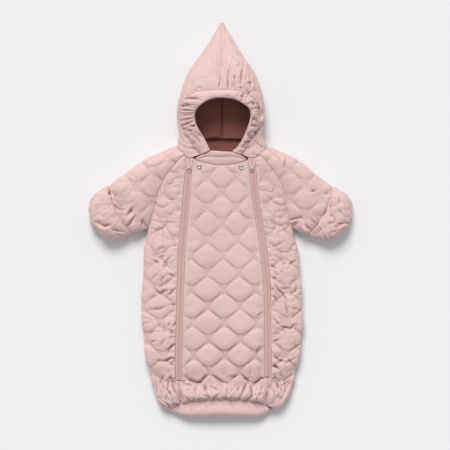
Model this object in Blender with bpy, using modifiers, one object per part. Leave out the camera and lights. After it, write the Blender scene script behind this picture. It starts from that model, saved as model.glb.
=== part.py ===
"""A padded baby bunting bag, laid on its back and lightly filled out.

A closed bag with a quilted front between two long zips, raglan sleeves that end in
fold-over mittens, a pointed hood with a gathered casing round the face, a stand collar
under the chin and a gathered foot end. Every cut piece is its own closed wall, 0.3 mm from
its neighbours at the seams.

Frame: +X to the right as seen from above, +Y towards the hood's tip, +Z up. The origin is
on the floor, under the middle of the whole garment. Tables are in millimetres, measured
from the bag's centre line (x), from the garment's mid length (y) and from the floor (z).
"""
import math
from collections import namedtuple

import bmesh
import bpy
import numpy as np
from mathutils import Matrix, Vector
from mathutils.geometry import delaunay_2d_cdt

MM = 0.001
CENTRE_LINE_X = 3.0        # the bag's centre line lies this far right of the box's middle
SEAM_GAP = 0.32            # between two cut pieces at a seam
SEAM_WALL = 2.4            # a wall's thickness where it is sewn
SEAM_REACH = 14.0          # a wall reaches its full thickness this far from its seams
SEAM_LEAN = 1.3            # how far a wall's inner edge stands back from the seam
WADDING = 4.6              # extra thickness of a wall away from its seams
LINING_WALL = 1.2
LINING_GAP = 1.8
HOOD_ROWS_ABOVE = 10       # grid rows above and below the hood's front corner
HOOD_ROWS_BELOW = 12
HOOD_COLUMNS = 21
PLEAT_RISE = 1.3           # of the hood's gathers along the casing
SQUARENESS = 2.6           # of the bag's cross-section: 2 is an ellipse

CELL_WIDTH = 70.0          # the quilting's ogee cells
CELL_MIDDLES = [-405.0, -334.8, -264.4, -192.0, -119.5, -46.4, 24.9, 91.1, 157.0]
CELL_HEIGHT = 66.0         # of the cells above the last of these middles on the centre line
CELL_LEAN = 6.0            # the lattice wanders this far to the right down the front
PUFF = 3.4                 # how far a cell's middle stands out

ZIP_TAPE = 15.0            # visible width of the tape
ZIP_TOP = 133.4
ZIP_FOOT = (-355.0, -348.0)    # left, right
COIL_WIDTH = 4.6
COIL_RISE = 1.5
TAPE_DEPTH = 1.0           # the tape lies this far below the panels' base surface
TAPE_WALL = 1.5
ZIP_END_RUN = 1.5          # the panels close to a seam over this length below a zip

GATHER_TOP = -346.0        # where the foot end's gathers begin
GATHER_RISE = 1.5
STRIP_FULLNESS = 0.5       # of the foot strip's section: 1 is round, less is fuller

SLIDER_Y = 111.5
PULL_RING = 4.0            # radius of the ring pull's centre line
PULL_WIRE = 0.9
BAIL_RADIUS = 3.0
BAIL_WIRE = 0.55
PIVOT_RISE = 1.2           # of the ring's wire above the slider's top plate
PULL_SKEW = 20.0           # degrees: the loose ring hangs a little towards the middle

STUD_RADIUS = 5.0
STUD_RISE = 2.6

LEFT, RIGHT = -1, 1

# The bag's rows, from the foot seam up. front_y and back_y: the centre line; left and right:
# the side seam's point; crown: the front's height at the centre; seam: the side seam's height.
BodyRow = namedtuple("BodyRow", "front_y back_y left_x left_y right_x right_y crown seam")
BODY = [
    BodyRow(-398.6, -424.0, -118.8, -422.8, 110.0, -419.0, 28.0, 10.0),
    BodyRow(-391.0, -410.0, -130.2, -412.9, 128.0, -413.5, 31.0, 12.0),
    BodyRow(-382.0, -394.0, -141.0, -397.3, 142.0, -397.0, 34.0, 13.0),
    BodyRow(-367.0, -370.0, -151.8, -370.0, 153.0, -368.0, 38.0, 15.0),
    BodyRow(-341.0, -341.0, -157.7, -341.0, 160.5, -341.0, 42.0, 16.0),
    BodyRow(-311.0, -311.0, -165.0, -311.0, 167.0, -311.0, 44.0, 17.0),
    BodyRow(-260.0, -260.0, -171.6, -260.0, 175.0, -260.0, 46.0, 17.0),
    BodyRow(-187.0, -187.0, -177.0, -187.0, 175.5, -187.0, 46.0, 17.0),
    BodyRow(-135.0, -135.0, -173.8, -135.0, 171.6, -135.0, 46.0, 17.0),
    BodyRow(-95.0, -95.0, -171.6, -95.0, 169.4, -95.0, 46.0, 17.0),
    BodyRow(-55.0, -55.0, -169.4, -55.0, 163.5, -55.0, 46.0, 17.0),
    BodyRow(-21.0, -21.0, -161.0, -21.0, 154.0, -21.0, 46.0, 17.0),
    BodyRow(80.0, 80.0, -163.0, 80.0, 158.0, 80.0, 48.0, 17.0),
    BodyRow(172.0, 172.0, -163.0, 172.0, 158.0, 172.0, 50.0, 17.0),
]
UNDERARM = -21.0
FOOT_CURVE = -300.0        # the sides turn in towards the foot end below this
HEM = BODY[0].front_y
NECKLINE_DROP = 15.0       # how far the front neckline dips at the centre
NECKLINE_Y = 117.5
SIDE_TOP = 138.0           # the side fronts' upper edge near the zips
SIDE_ROLL = 24.0           # width of the back's rounded edge

# Raglan seams in plan, from the underarm up to the neck.
SeamPoint = namedtuple("SeamPoint", "x y")
RAGLAN_FRONT = {
    LEFT: [SeamPoint(-161.0, -21.0), SeamPoint(-155.1, 0.0), SeamPoint(-148.3, 26.0),
           SeamPoint(-140.8, 54.6), SeamPoint(-129.8, 81.0), SeamPoint(-116.6, 103.0),
           SeamPoint(-101.2, 121.7), SeamPoint(-82.7, 141.9)],
    RIGHT: [SeamPoint(154.0, -21.0), SeamPoint(147.4, 0.0), SeamPoint(143.0, 22.0),
            SeamPoint(137.5, 52.4), SeamPoint(129.0, 80.0), SeamPoint(113.0, 105.0),
            SeamPoint(98.0, 124.0), SeamPoint(82.7, 141.9)],
}
RAGLAN_BACK = {
    LEFT: [SeamPoint(-161.0, -21.0), SeamPoint(-156.0, 0.0), SeamPoint(-146.0, 33.0),
           SeamPoint(-132.0, 72.0), SeamPoint(-116.0, 108.0), SeamPoint(-101.0, 140.0),
           SeamPoint(-89.4, 164.0)],
    RIGHT: [SeamPoint(154.0, -21.0), SeamPoint(149.0, 0.0), SeamPoint(141.0, 33.0),
            SeamPoint(130.0, 72.0), SeamPoint(115.0, 108.0), SeamPoint(101.0, 140.0),
            SeamPoint(89.4, 164.0)],
}

# The neck seam of the left half, from the centre back over the shoulder to the zip and on
# to the hood's front corner. The shoulder, the raglan's top and the zip's top have names.
NeckPoint = namedtuple("NeckPoint", "x y z")
NECK = [
    NeckPoint(0.0, 169.0, 0.0), NeckPoint(45.0, 168.0, 0.0), NeckPoint(75.0, 166.5, 0.0),
    NeckPoint(91.0, 164.0, 0.0), NeckPoint(98.6, 160.0, 22.0), NeckPoint(95.0, 151.5, 38.0),
    NeckPoint(82.7, 141.9, 47.0), NeckPoint(71.5, 134.5, 48.5), NeckPoint(48.4, 141.0, 50.0),
]
BACK_RAGLAN_KNOT, SHOULDER_KNOT, FRONT_RAGLAN_KNOT, LAST_KNOT = 3, 4, 6, 8

CUFF_BOW = 9.0             # how far the mitten's seam bends towards the hand
SLEEVE_QUILT = {LEFT: (12.0, 20.0), RIGHT: (-8.0, 14.0)}    # the quilting's shift in plan

# Sleeve and mitten sections: the two silhouette points, and the heights of edge and crest.
LimbRow = namedtuple("LimbRow", "top_x top_y low_x low_y edge crest")
SLEEVE = {
    LEFT: [LimbRow(-98.6, 160.0, -161.0, -21.0, 20.0, 44.0),
           LimbRow(-140.8, 142.6, -166.0, -22.0, 20.0, 45.0),
           LimbRow(-171.6, 128.5, -175.0, -24.0, 20.0, 44.0),
           LimbRow(-202.4, 106.3, -185.0, -26.8, 19.0, 42.0),
           LimbRow(-228.8, 89.0, -193.6, -30.0, 18.0, 40.0),
           LimbRow(-248.6, 72.2, -200.2, -32.8, 17.0, 34.0)],
    RIGHT: [LimbRow(98.6, 160.0, 154.0, -21.0, 20.0, 44.0),
            LimbRow(140.8, 141.5, 160.6, -22.5, 20.0, 45.0),
            LimbRow(171.6, 126.1, 169.4, -26.0, 20.0, 44.0),
            LimbRow(198.0, 104.1, 177.1, -28.6, 19.0, 42.0),
            LimbRow(221.0, 86.5, 184.8, -31.2, 18.0, 40.0),
            LimbRow(244.2, 70.0, 191.4, -33.4, 17.0, 34.0)],
}
MITTEN = {
    LEFT: [LimbRow(-248.6, 72.2, -200.2, -32.8, 17.0, 34.0),
           LimbRow(-258.5, 67.1, -214.5, -41.5, 19.0, 41.0),
           LimbRow(-269.5, 61.0, -233.2, -45.8, 20.0, 45.0),
           LimbRow(-279.4, 53.0, -251.9, -41.5, 20.0, 45.0),
           LimbRow(-286.4, 43.5, -266.2, -33.9, 19.0, 41.0),
           LimbRow(-290.6, 32.0, -278.2, -22.5, 17.0, 35.0),
           LimbRow(-292.4, 21.5, -286.4, -9.0, 16.0, 27.0),
           LimbRow(-292.9, 12.5, -290.8, 1.5, 15.0, 19.0)],
    RIGHT: [LimbRow(244.2, 70.0, 191.4, -33.4, 17.0, 34.0),
            LimbRow(254.1, 64.0, 206.8, -40.5, 19.0, 41.0),
            LimbRow(264.0, 57.3, 224.4, -45.3, 20.0, 45.0),
            LimbRow(273.9, 48.1, 242.0, -44.5, 20.0, 45.0),
            LimbRow(281.2, 37.1, 257.4, -36.7, 19.0, 41.0),
            LimbRow(285.4, 25.5, 271.7, -23.5, 17.0, 35.0),
            LimbRow(286.6, 15.0, 280.6, -9.2, 16.0, 27.0),
            LimbRow(287.0, 7.5, 285.0, -1.0, 15.0, 19.0)],
}

# The casing round the face, from the left chin over the top to the right chin: its outer,
# sewn edge and its inner edge, round the opening.
RimRow = namedtuple("RimRow", "out_x out_y out_z in_x in_y in_z")
RIM = [
    RimRow(-48.4, 141.0, 50.0, -26.4, 151.0, 56.0), RimRow(-64.0, 161.0, 48.5, -37.6, 173.0, 60.0),
    RimRow(-79.0, 184.0, 47.0, -51.5, 195.0, 66.0), RimRow(-89.0, 209.0, 47.5, -60.0, 214.0, 71.0),
    RimRow(-92.0, 235.0, 52.0, -61.5, 233.6, 76.5), RimRow(-87.0, 255.6, 62.0, -55.5, 248.8, 83.0),
    RimRow(-73.0, 270.6, 72.0, -43.0, 258.6, 87.5), RimRow(-50.0, 279.0, 79.0, -26.0, 262.4, 90.5),
    RimRow(-25.0, 281.6, 83.0, -13.0, 264.4, 92.0), RimRow(0.0, 282.2, 84.0, 0.0, 264.6, 92.5),
    RimRow(25.0, 281.6, 83.0, 14.0, 263.6, 91.8), RimRow(49.0, 276.0, 78.0, 30.0, 260.0, 90.5),
    RimRow(68.0, 264.6, 70.0, 47.0, 250.8, 87.0), RimRow(80.0, 245.8, 59.0, 59.0, 237.0, 81.0),
    RimRow(82.5, 222.0, 50.0, 62.5, 220.0, 75.0), RimRow(78.0, 198.0, 46.0, 55.0, 196.0, 68.0),
    RimRow(67.0, 176.0, 46.0, 45.1, 174.0, 61.0), RimRow(55.0, 156.0, 48.0, 34.0, 157.0, 57.5),
    RimRow(44.0, 141.0, 50.0, 23.1, 148.5, 55.0),
]
RIM_TOP = 9                # the row at the hood's centre seam

# The hood's left half, from the tip down: centre back on the floor, silhouette, and the
# centre seam in front. Below CORNER_ROW the front edge is the casing's sewn edge.
HoodRow = namedtuple("HoodRow", "back_y side_x side_y side_z front_y front_z")
HOOD = [
    HoodRow(432.0, 3.9, 433.0, 7.0, 434.0, 13.0), HoodRow(420.0, 10.0, 421.5, 8.2, 411.0, 22.0),
    HoodRow(408.0, 17.0, 409.5, 9.3, 389.0, 33.0), HoodRow(396.0, 23.5, 398.0, 10.5, 362.6, 46.0),
    HoodRow(385.0, 29.8, 387.0, 12.0, 336.0, 60.0), HoodRow(374.0, 37.3, 376.0, 13.5, 314.0, 72.0),
    HoodRow(363.0, 44.5, 366.0, 15.0, 294.0, 80.0), HoodRow(350.0, 52.8, 354.0, 17.0, 282.2, 84.0),
    HoodRow(334.0, 64.2, 338.0, 20.0, 0.0, 0.0), HoodRow(316.0, 75.0, 320.0, 23.0, 0.0, 0.0),
    HoodRow(298.0, 83.6, 300.0, 26.5, 0.0, 0.0), HoodRow(279.0, 90.5, 277.5, 29.5, 0.0, 0.0),
    HoodRow(257.0, 96.8, 253.0, 32.0, 0.0, 0.0), HoodRow(235.0, 99.0, 230.0, 32.0, 0.0, 0.0),
    HoodRow(213.0, 97.0, 208.0, 30.0, 0.0, 0.0), HoodRow(191.0, 94.0, 184.0, 26.5, 0.0, 0.0),
    HoodRow(169.0, 98.6, 160.0, 22.0, 0.0, 0.0),
]
CORNER_ROW = 7
HOOD_SIDE_SCALE = {LEFT: 1.0, RIGHT: 0.955}
HOOD_SIDE_V = 0.45         # the silhouette's place across a hood half

# The collar under the chin: its sewn edge on the neckline and its free edge.
CollarRow = namedtuple("CollarRow", "low_x top_x top_y top_z")
COLLAR = [
    CollarRow(-58.5, -57.5, 133.4, 50.0), CollarRow(-47.0, -47.0, 139.2, 51.0),
    CollarRow(-26.0, -26.0, 148.4, 53.5), CollarRow(0.0, 0.0, 147.2, 56.0),
    CollarRow(24.0, 24.0, 145.8, 55.0), CollarRow(41.0, 41.0, 139.2, 51.5),
    CollarRow(53.5, 52.0, 131.6, 49.5),
]

# The foot strip's outermost line, in plan.
FOOT_LINE = [
    SeamPoint(-118.4, -423.2), SeamPoint(-100.0, -426.0), SeamPoint(-81.0, -429.0),
    SeamPoint(-61.6, -432.1), SeamPoint(0.0, -434.3), SeamPoint(41.0, -433.2),
    SeamPoint(72.0, -430.5), SeamPoint(94.6, -426.5), SeamPoint(109.5, -421.0),
]

Paint = namedtuple("Paint", "red green blue rough metal")
PAINTS = {
    "quilted_cloth": Paint(0.70, 0.50, 0.48, 0.85, 0.0),
    "lining_cloth": Paint(0.45, 0.25, 0.23, 0.9, 0.0),
    "zip_tape": Paint(0.60, 0.41, 0.37, 0.75, 0.0),
    "painted_metal": Paint(0.62, 0.42, 0.39, 0.4, 0.6),
    "steel": Paint(0.78, 0.77, 0.76, 0.25, 1.0),
}


# ---------------------------------------------------------------- curves and numbers

def smooth(keys, values, at):
    """Cubic curve through a table's values; each slope is taken from both neighbours."""
    keys = np.asarray(keys, float)
    values = np.asarray(values, float)
    at = np.asarray(at, float)
    slopes = np.gradient(values, keys, axis=0)
    i = np.clip(np.searchsorted(keys, at, side="right") - 1, 0, len(keys) - 2)
    span = keys[i + 1] - keys[i]
    t = (at - keys[i]) / span
    if values.ndim > 1:
        t = t[..., None]
        span = span[..., None]
    from_start = (1 + 2 * t) * (1 - t) ** 2 * values[i] + t * (1 - t) ** 2 * span * slopes[i]
    to_end = t * t * (3 - 2 * t) * values[i + 1] + t * t * (t - 1) * span * slopes[i + 1]
    return from_start + to_end


def ease(x):
    """0 below 0, 1 above 1, smooth between."""
    x = np.clip(x, 0.0, 1.0)
    return x * x * (3 - 2 * x)


def length_of(vectors):
    return np.linalg.norm(vectors, axis=-1, keepdims=True)


def spread(count):
    return np.linspace(0.0, 1.0, count)


# ---------------------------------------------------------------- the bag's surfaces

def body_row(station):
    rows = np.array(BODY)
    return smooth(rows[:, 0], rows[:, 1:], station)


def half_width(side_sign, row):
    return np.where(side_sign < 0, -row[..., 1], row[..., 3])


def front_surface(across, station):
    """The front's base surface: across is -1 at the left side seam, 0 at the crown, 1 at the right."""
    row = body_row(station)
    half = half_width(across, row)
    end_y = np.where(across < 0, row[..., 2], row[..., 4])
    angle = (1 - np.abs(across)) * math.pi / 2
    reach = np.cos(angle) ** (2 / SQUARENESS)
    x = np.sign(across) * half * reach
    y = station + (end_y - station) * reach ** 3
    z = row[..., 6] + (row[..., 5] - row[..., 6]) * np.sin(angle)
    return np.stack([x, y, z], axis=-1)


def front_across(x, station):
    """The front's across value at a place x."""
    half = half_width(x, body_row(station))
    reach = np.clip(np.abs(x) / half, 0.0, 1.0)
    angle = np.arccos(np.clip(reach ** (SQUARENESS / 2), 0.0, 1.0))
    return np.sign(x) * (1 - 2 * angle / math.pi)


def on_front(x, station):
    return front_surface(front_across(x, station), station)


def back_surface(across, station):
    """The back's base surface: flat on the floor, rolling up to the side seams."""
    flat_share = 0.8
    row = body_row(station)
    half = half_width(across, row)
    end_y = np.where(across < 0, row[..., 2], row[..., 4])
    size = np.abs(across)
    roll = np.clip((size - flat_share) / (1 - flat_share), 0.0, 1.0) * math.pi / 2
    flat_x = (half - SIDE_ROLL) * np.minimum(size / flat_share, 1.0)
    x = flat_x + SIDE_ROLL * np.sin(roll)
    y = row[..., 0] + (end_y - row[..., 0]) * (x / half) ** 3
    z = row[..., 6] * (1 - np.cos(roll))
    return np.stack([np.sign(across) * x, y, z], axis=-1)


def back_across(x, station):
    flat_share = 0.8
    half = half_width(x, body_row(station))
    flat_x = half - SIDE_ROLL
    rolled = np.clip((np.abs(x) - flat_x) / SIDE_ROLL, 0.0, 1.0)
    on_roll = flat_share + (1 - flat_share) * np.arcsin(rolled) * 2 / math.pi
    on_flat = flat_share * np.abs(x) / flat_x
    return np.sign(x) * np.where(rolled > 0, on_roll, on_flat)


def seam_x(points, y):
    table = np.array(points)
    return smooth(table[:, 1], table[:, 0], y)


def zip_x(side, station):
    """The zip's centre line, and the seam that runs on below it to the foot."""
    keys = [-400.0, -355.0, -250.0, -150.0, -50.0, 40.0, 134.0]
    places = {LEFT: [-90.0, -94.4, -94.2, -91.4, -86.9, -79.0, -71.5],
              RIGHT: [97.0, 100.2, 100.2, 98.8, 88.6, 74.4, 64.2]}
    return smooth(keys, places[side], station)


def zip_foot(side):
    return ZIP_FOOT[0] if side == LEFT else ZIP_FOOT[1]


def zip_clearance(side, station):
    """Half the space between the panels: the tape's width, and only a seam below the zip."""
    return np.where(station > zip_foot(side) - 0.01, ZIP_TAPE / 2, 0.0)


def neckline(x):
    return NECKLINE_Y + NECKLINE_DROP * (x / 62.0) ** 2


# ---------------------------------------------------------------- quilting and gathers

def cell_phase(y):
    """How many cells up the centre line a place is. A whole number is a cell's middle."""
    inside = np.clip(y, CELL_MIDDLES[0], CELL_MIDDLES[-1])
    counted = smooth(CELL_MIDDLES, np.arange(len(CELL_MIDDLES)), inside)
    return counted + (y - inside) / CELL_HEIGHT


def lattice_lean(y):
    """How far right of the centre line the quilting's middle column lies."""
    return CELL_LEAN * ease((CELL_MIDDLES[-2] - y) / (CELL_MIDDLES[-2] - CELL_MIDDLES[1]))


def ogee(x, y):
    """Quilting height, 0 on the stitched lines and 1 in a cell's middle. A cell's half width
    at height t is half the cell's width times sin squared of pi t, so neighbours interlock."""
    t = cell_phase(y) + 0.5
    narrow = 0.5 - 0.5 * np.cos(2 * math.pi * t)
    wedge = np.abs(2 * (t - np.floor(t)) - 1)
    edge = 0.7 * narrow + 0.3 * (1 - wedge)
    line = np.cos(2 * math.pi * x / CELL_WIDTH) - np.cos(math.pi * edge)
    return np.clip(np.abs(line) / 1.6, 0.0, 1.0) ** 0.6


def run_along(points, axis):
    """Distance along the grid lines from their nearer end."""
    steps = length_of(np.diff(points, axis=axis))[..., 0]
    start = np.zeros_like(np.take(steps, [0], axis=axis))
    run = np.concatenate([start, np.cumsum(steps, axis=axis)], axis=axis)
    return np.minimum(run, np.take(run, [-1], axis=axis) - run)


def edge_fade(points, tube=False):
    """0 on the piece's sewn edges, 1 at SEAM_REACH from them. A tube is sewn at its ends only."""
    away = run_along(points, 0)
    if not tube:
        away = np.minimum(away, run_along(points, 1))
    return ease(away / SEAM_REACH)


def above_floor(points):
    """0 where the cloth rests on the floor, 1 on the free sides and the top."""
    return ease((points[..., 2] - 3.0) / 12.0)


def arc_across(across, station):
    """Distance over the front's curve from the crown, in mm."""
    steps = np.linspace(0.0, 1.0, 60)
    curve = front_surface(steps, np.full(60, -150.0))
    runs = np.linalg.norm(np.diff(curve, axis=0), axis=1)
    total = np.concatenate([[0.0], np.cumsum(runs)])
    return np.sign(across) * np.interp(np.abs(across), steps, total)


def foot_gathers(station):
    """Gathers of the foot end: every second column of the grid is a ridge, each of its own length."""
    column = np.arange(station.shape[1])
    start = GATHER_TOP + 9.0 * np.sin(2.4 * column)
    strength = ease((station - start) / -34.0)
    return strength * (GATHER_RISE * np.cos(math.pi * column) + GATHER_RISE)


# ---------------------------------------------------------------- walls

def outward_normals(points, inside, tube):
    down = np.gradient(points, axis=0)
    if tube:
        over = (np.roll(points, -1, axis=1) - np.roll(points, 1, axis=1)) / 2
    else:
        over = np.gradient(points, axis=1)
    normals = np.cross(down, over)
    normals = normals / np.maximum(length_of(normals), 1e-9)
    facing = np.sum(normals * (points - np.array(inside)))
    return normals if facing > 0 else -normals


def stand_back(outer, inner, tube, pole):
    """Draws a piece's edges back from its seams: half the gap outside, and a little more inside."""
    for grid, distance in ((outer, SEAM_GAP / 2), (inner, SEAM_LEAN)):
        step = grid[1] - grid[0]
        grid[0] += distance * step / length_of(step)
        if not pole:
            step = grid[-2] - grid[-1]
            grid[-1] += distance * step / length_of(step)
        if not tube:
            for edge, beside in ((0, 1), (-1, -2)):
                step = grid[:, beside] - grid[:, edge]
                grid[:, edge] += distance * step / length_of(step)


def inner_triangles(rows, columns, tube, stride):
    """A coarse triangulation of the wall's plain inside that shares the outside's edge points."""
    last = columns if tube else columns - 1
    keep_rows = sorted(set(range(0, rows - 1, stride)) | {rows - 1})
    side_rows = keep_rows if tube else range(rows)
    loop = [(0, j) for j in range(last + 1)]
    loop += [(i, last) for i in side_rows if i > 0]
    loop += [(rows - 1, j) for j in range(last - 1, -1, -1)]
    loop += [(i, 0) for i in reversed(list(side_rows)) if 0 < i < rows - 1]
    middle = [(i, j) for i in keep_rows[1:-1] for j in range(stride, last - 1, stride)]
    places = loop + middle
    flat = [Vector((j, i)) for i, j in places]
    edges = [(k, (k + 1) % len(loop)) for k in range(len(loop))]
    result = delaunay_2d_cdt(flat, edges, [], 1, 1e-6)
    merged = [places[source[0]] for source in result[3]]
    if tube:
        merged = [(i, j % columns) for i, j in merged]
    return [[merged[k] for k in face] for face in result[2]]


def add_mesh(name, vertices, faces, paint, smooth_angle=60.0):
    """A closed mesh object in the garment's frame, triangulated, its faces turned outwards."""
    mesh = bpy.data.meshes.new(name)
    placed = (np.asarray(vertices) + [CENTRE_LINE_X, 0.0, 0.0]) * MM
    mesh.from_pydata(placed.tolist(), [], faces)
    shape = bmesh.new()
    shape.from_mesh(mesh)
    bmesh.ops.triangulate(shape, faces=shape.faces[:], quad_method="SHORT_EDGE")
    bmesh.ops.recalc_face_normals(shape, faces=shape.faces[:])
    shape.to_mesh(mesh)
    shape.free()
    mesh.shade_smooth()
    mesh.set_sharp_from_angle(angle=math.radians(smooth_angle))
    mesh.materials.append(material(paint))
    piece = bpy.data.objects.new(name, mesh)
    garment.objects.link(piece)
    return piece


def cloth_wall(name, points, relief, depth, inside, paint="quilted_cloth", tube=False, pole=None, stride=3):
    """One cut piece: a grid of outer points raised by the relief, a plain coarse inside at the
    given depth, and an edge wall round it. A tube closes on itself; a pole closes its far end.
    The outside's squares are split along their hollows, so that stitched lines stay sharp."""
    rows, columns = points.shape[:2]
    normals = outward_normals(points, inside, tube)
    outer = points + relief[..., None] * normals
    inner = points - depth[..., None] * normals
    stand_back(outer, inner, tube, pole is not None)
    outer[..., 2] = np.maximum(outer[..., 2], 0.0)

    def outer_id(i, j):
        return i * columns + j % columns

    def inner_id(i, j):
        return rows * columns + i * columns + j % columns

    spans = columns if tube else columns - 1
    faces = []
    for i in range(rows - 1):
        for j in range(spans):
            k = (j + 1) % columns
            corners = [outer_id(i, j), outer_id(i, k), outer_id(i + 1, k), outer_id(i + 1, j)]
            if relief[i, k] + relief[i + 1, j] < relief[i, j] + relief[i + 1, k]:
                corners = corners[1:] + corners[:1]
            faces += [[corners[0], corners[1], corners[2]], [corners[0], corners[2], corners[3]]]
    faces += [[inner_id(i, j) for i, j in reversed(face)]
              for face in inner_triangles(rows, columns, tube, stride)]
    ends = [0] if pole is not None else [0, rows - 1]
    for i in ends:
        turn = 1 if i == 0 else -1
        faces += [[inner_id(i, j), inner_id(i, j + 1), outer_id(i, j + 1), outer_id(i, j)][::turn]
                  for j in range(spans)]
    if not tube:
        for j in (0, columns - 1):
            turn = -1 if j == 0 else 1
            faces += [[inner_id(i, j), inner_id(i + 1, j), outer_id(i + 1, j), outer_id(i, j)][::turn]
                      for i in range(rows - 1)]
    vertices = np.concatenate([outer.reshape(-1, 3), inner.reshape(-1, 3)])
    if pole is not None:
        tip = np.array(pole)
        ring = outer[-1].mean(axis=0)
        inwards = (ring - outer[-2].mean(axis=0)) * -1
        inwards = inwards / np.linalg.norm(inwards)
        vertices = np.concatenate([vertices, [tip, tip + inwards * depth[-1, 0]]])
        tip_id = len(vertices) - 2
        faces += [[outer_id(rows - 1, j), outer_id(rows - 1, j + 1), tip_id] for j in range(columns)]
        faces += [[inner_id(rows - 1, j + 1), inner_id(rows - 1, j), tip_id + 1] for j in range(columns)]
    used = sorted({k for face in faces for k in face})
    renumber = {old: new for new, old in enumerate(used)}
    faces = [[renumber[k] for k in face] for face in faces]
    return add_mesh(name, vertices[used], faces, paint)


def padded_depth(fade):
    return SEAM_WALL + WADDING * fade


def closed_loft(name, sections, paint, smooth_angle=60.0):
    """A solid through closed sections of equal point counts, flat at both ends."""
    stations, count = sections.shape[:2]
    faces = [[i * count + j, i * count + (j + 1) % count,
              (i + 1) * count + (j + 1) % count, (i + 1) * count + j]
             for i in range(stations - 1) for j in range(count)]
    faces.append(list(range(count))[::-1])
    faces.append([(stations - 1) * count + j for j in range(count)])
    return add_mesh(name, sections.reshape(-1, 3), faces, paint, smooth_angle)


def material(slot):
    """A Principled material for a slot of PAINTS, made once."""
    found = bpy.data.materials.get(slot)
    if found:
        return found
    paint = PAINTS[slot]
    made = bpy.data.materials.new(slot)
    made.use_nodes = True
    shader = made.node_tree.nodes["Principled BSDF"]
    shader.inputs["Base Color"].default_value = (paint.red, paint.green, paint.blue, 1.0)
    shader.inputs["Roughness"].default_value = paint.rough
    shader.inputs["Metallic"].default_value = paint.metal
    return made


# ---------------------------------------------------------------- bag panels

def front_relief(points, across, station, fade):
    """Quilting and foot gathers, pressed flat under the studs and at the seams."""
    run = arc_across(across, station) - lattice_lean(points[..., 1])
    puff = PUFF * ogee(run, points[..., 1])
    puff = puff * (1 - ease((station - GATHER_TOP) / -30.0))
    relief = puff + foot_gathers(station)
    for side in (LEFT, RIGHT):
        away = np.hypot(points[..., 0] - STUD_PLACE[side][0], points[..., 1] - STUD_PLACE[side][1])
        relief = relief * ease((away - STUD_RADIUS - 4.0) / 12.0)
    return relief * fade * above_floor(points)


def panel_stations(tops, feet):
    """Rows down the front: the top edge, then rows in step with the quilting, a close pair of
    rows where each zip ends, and the gathered foot end."""
    first = math.floor(8 * cell_phase(tops.min()) - 0.6)
    last = math.ceil(8 * cell_phase(max(feet)) + 0.6)
    counted = np.arange(first, last - 1, -1) / 8
    regular = smooth(np.arange(len(CELL_MIDDLES)), CELL_MIDDLES, counted)
    ends = sorted([foot - drop for foot in feet for drop in (0.0, ZIP_END_RUN)], reverse=True)
    gathered = np.linspace(ends[-1], HEM, 6)[1:]
    fixed = np.concatenate([regular, ends, gathered])
    return np.concatenate([tops[None, :], fixed[:, None] * np.ones(len(tops))])


def front_centre():
    """The middle front: its inner columns keep step with the quilting, the outer ones follow
    the zips."""
    step = CELL_WIDTH / 8
    inner = step * np.arange(-6, 7)
    tops = neckline(np.concatenate([[-64.0, -61.0, -58.0, -55.0], inner, [52.5, 53.5, 55.0, 56.7]]))
    station = panel_stations(tops, ZIP_FOOT)
    left = zip_x(LEFT, station[:, 0]) + zip_clearance(LEFT, station[:, 0])
    right = zip_x(RIGHT, station[:, -1]) - zip_clearance(RIGHT, station[:, -1])
    x = np.empty(station.shape)
    x[:, 4:-4] = inner + lattice_lean(station[:, 4:-4])
    share = np.arange(4) / 4
    x[:, :4] = left[:, None] + (x[:, 4] - left)[:, None] * share
    x[:, -4:] = right[:, None] + (x[:, -5] - right)[:, None] * share[::-1]
    station[0] = neckline(x[0])
    across = front_across(x, station)
    points = front_surface(across, station)
    fade = edge_fade(points)
    relief = front_relief(points, across, station, fade)
    cloth_wall("front_centre", points, relief, padded_depth(fade), (0, -100, -500))


def neck_height(side, x):
    """Where the neck seam passes over the front at a distance x from the centre line."""
    seam = neck_seam(side, FRONT_RAGLAN_KNOT + 2 * spread(30))
    return np.interp(np.abs(x), np.abs(seam[::-1, 0]), seam[::-1, 1])


def front_side(side):
    v = spread(9)
    inner_top = abs(zip_x(side, SIDE_TOP)) + ZIP_TAPE / 2
    top_x = inner_top + (RAGLAN_FRONT[side][-1].x * side - inner_top) * v
    station = panel_stations(neck_height(side, top_x), [zip_foot(side)])
    at_zip = front_across(zip_x(side, station) + side * zip_clearance(side, station), station)
    at_raglan = front_across(seam_x(RAGLAN_FRONT[side], np.maximum(station, UNDERARM)), station)
    at_edge = np.where(station > UNDERARM, at_raglan, side)
    across = at_zip + (at_edge - at_zip) * v
    points = front_surface(across, station)
    fade = edge_fade(points)
    relief = front_relief(points, across, station, fade)
    name = "front_side_left" if side == LEFT else "front_side_right"
    cloth_wall(name, points, relief, padded_depth(fade), (0, -100, -500))


def back_panel():
    v = spread(17) * 2 - 1
    v = np.sign(v) * (1 - (1 - np.abs(v)) ** 1.7)
    top = 169.0 - 4.6 * np.abs(v) ** 2.2
    shoulders = top + (UNDERARM - top) * spread(10)[:-1, None]
    trunk = np.linspace(UNDERARM, FOOT_CURVE, 9)[:-1]
    foot = np.linspace(FOOT_CURVE, HEM, 11)
    station = np.concatenate([shoulders, np.concatenate([trunk, foot])[:, None] * np.ones(17)])
    v = np.broadcast_to(v, station.shape)
    across = v.copy()
    for side in (LEFT, RIGHT):
        raglan = back_across(seam_x(RAGLAN_BACK[side], np.maximum(station, UNDERARM)), station)
        above = (station > UNDERARM) & (np.sign(v) == side)
        across = np.where(above, np.abs(v) * raglan, across)
    points = back_surface(across, station)
    fade = edge_fade(points)
    cloth_wall("back", points, np.zeros(across.shape), padded_depth(fade), (0, -100, 500), stride=2)


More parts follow.
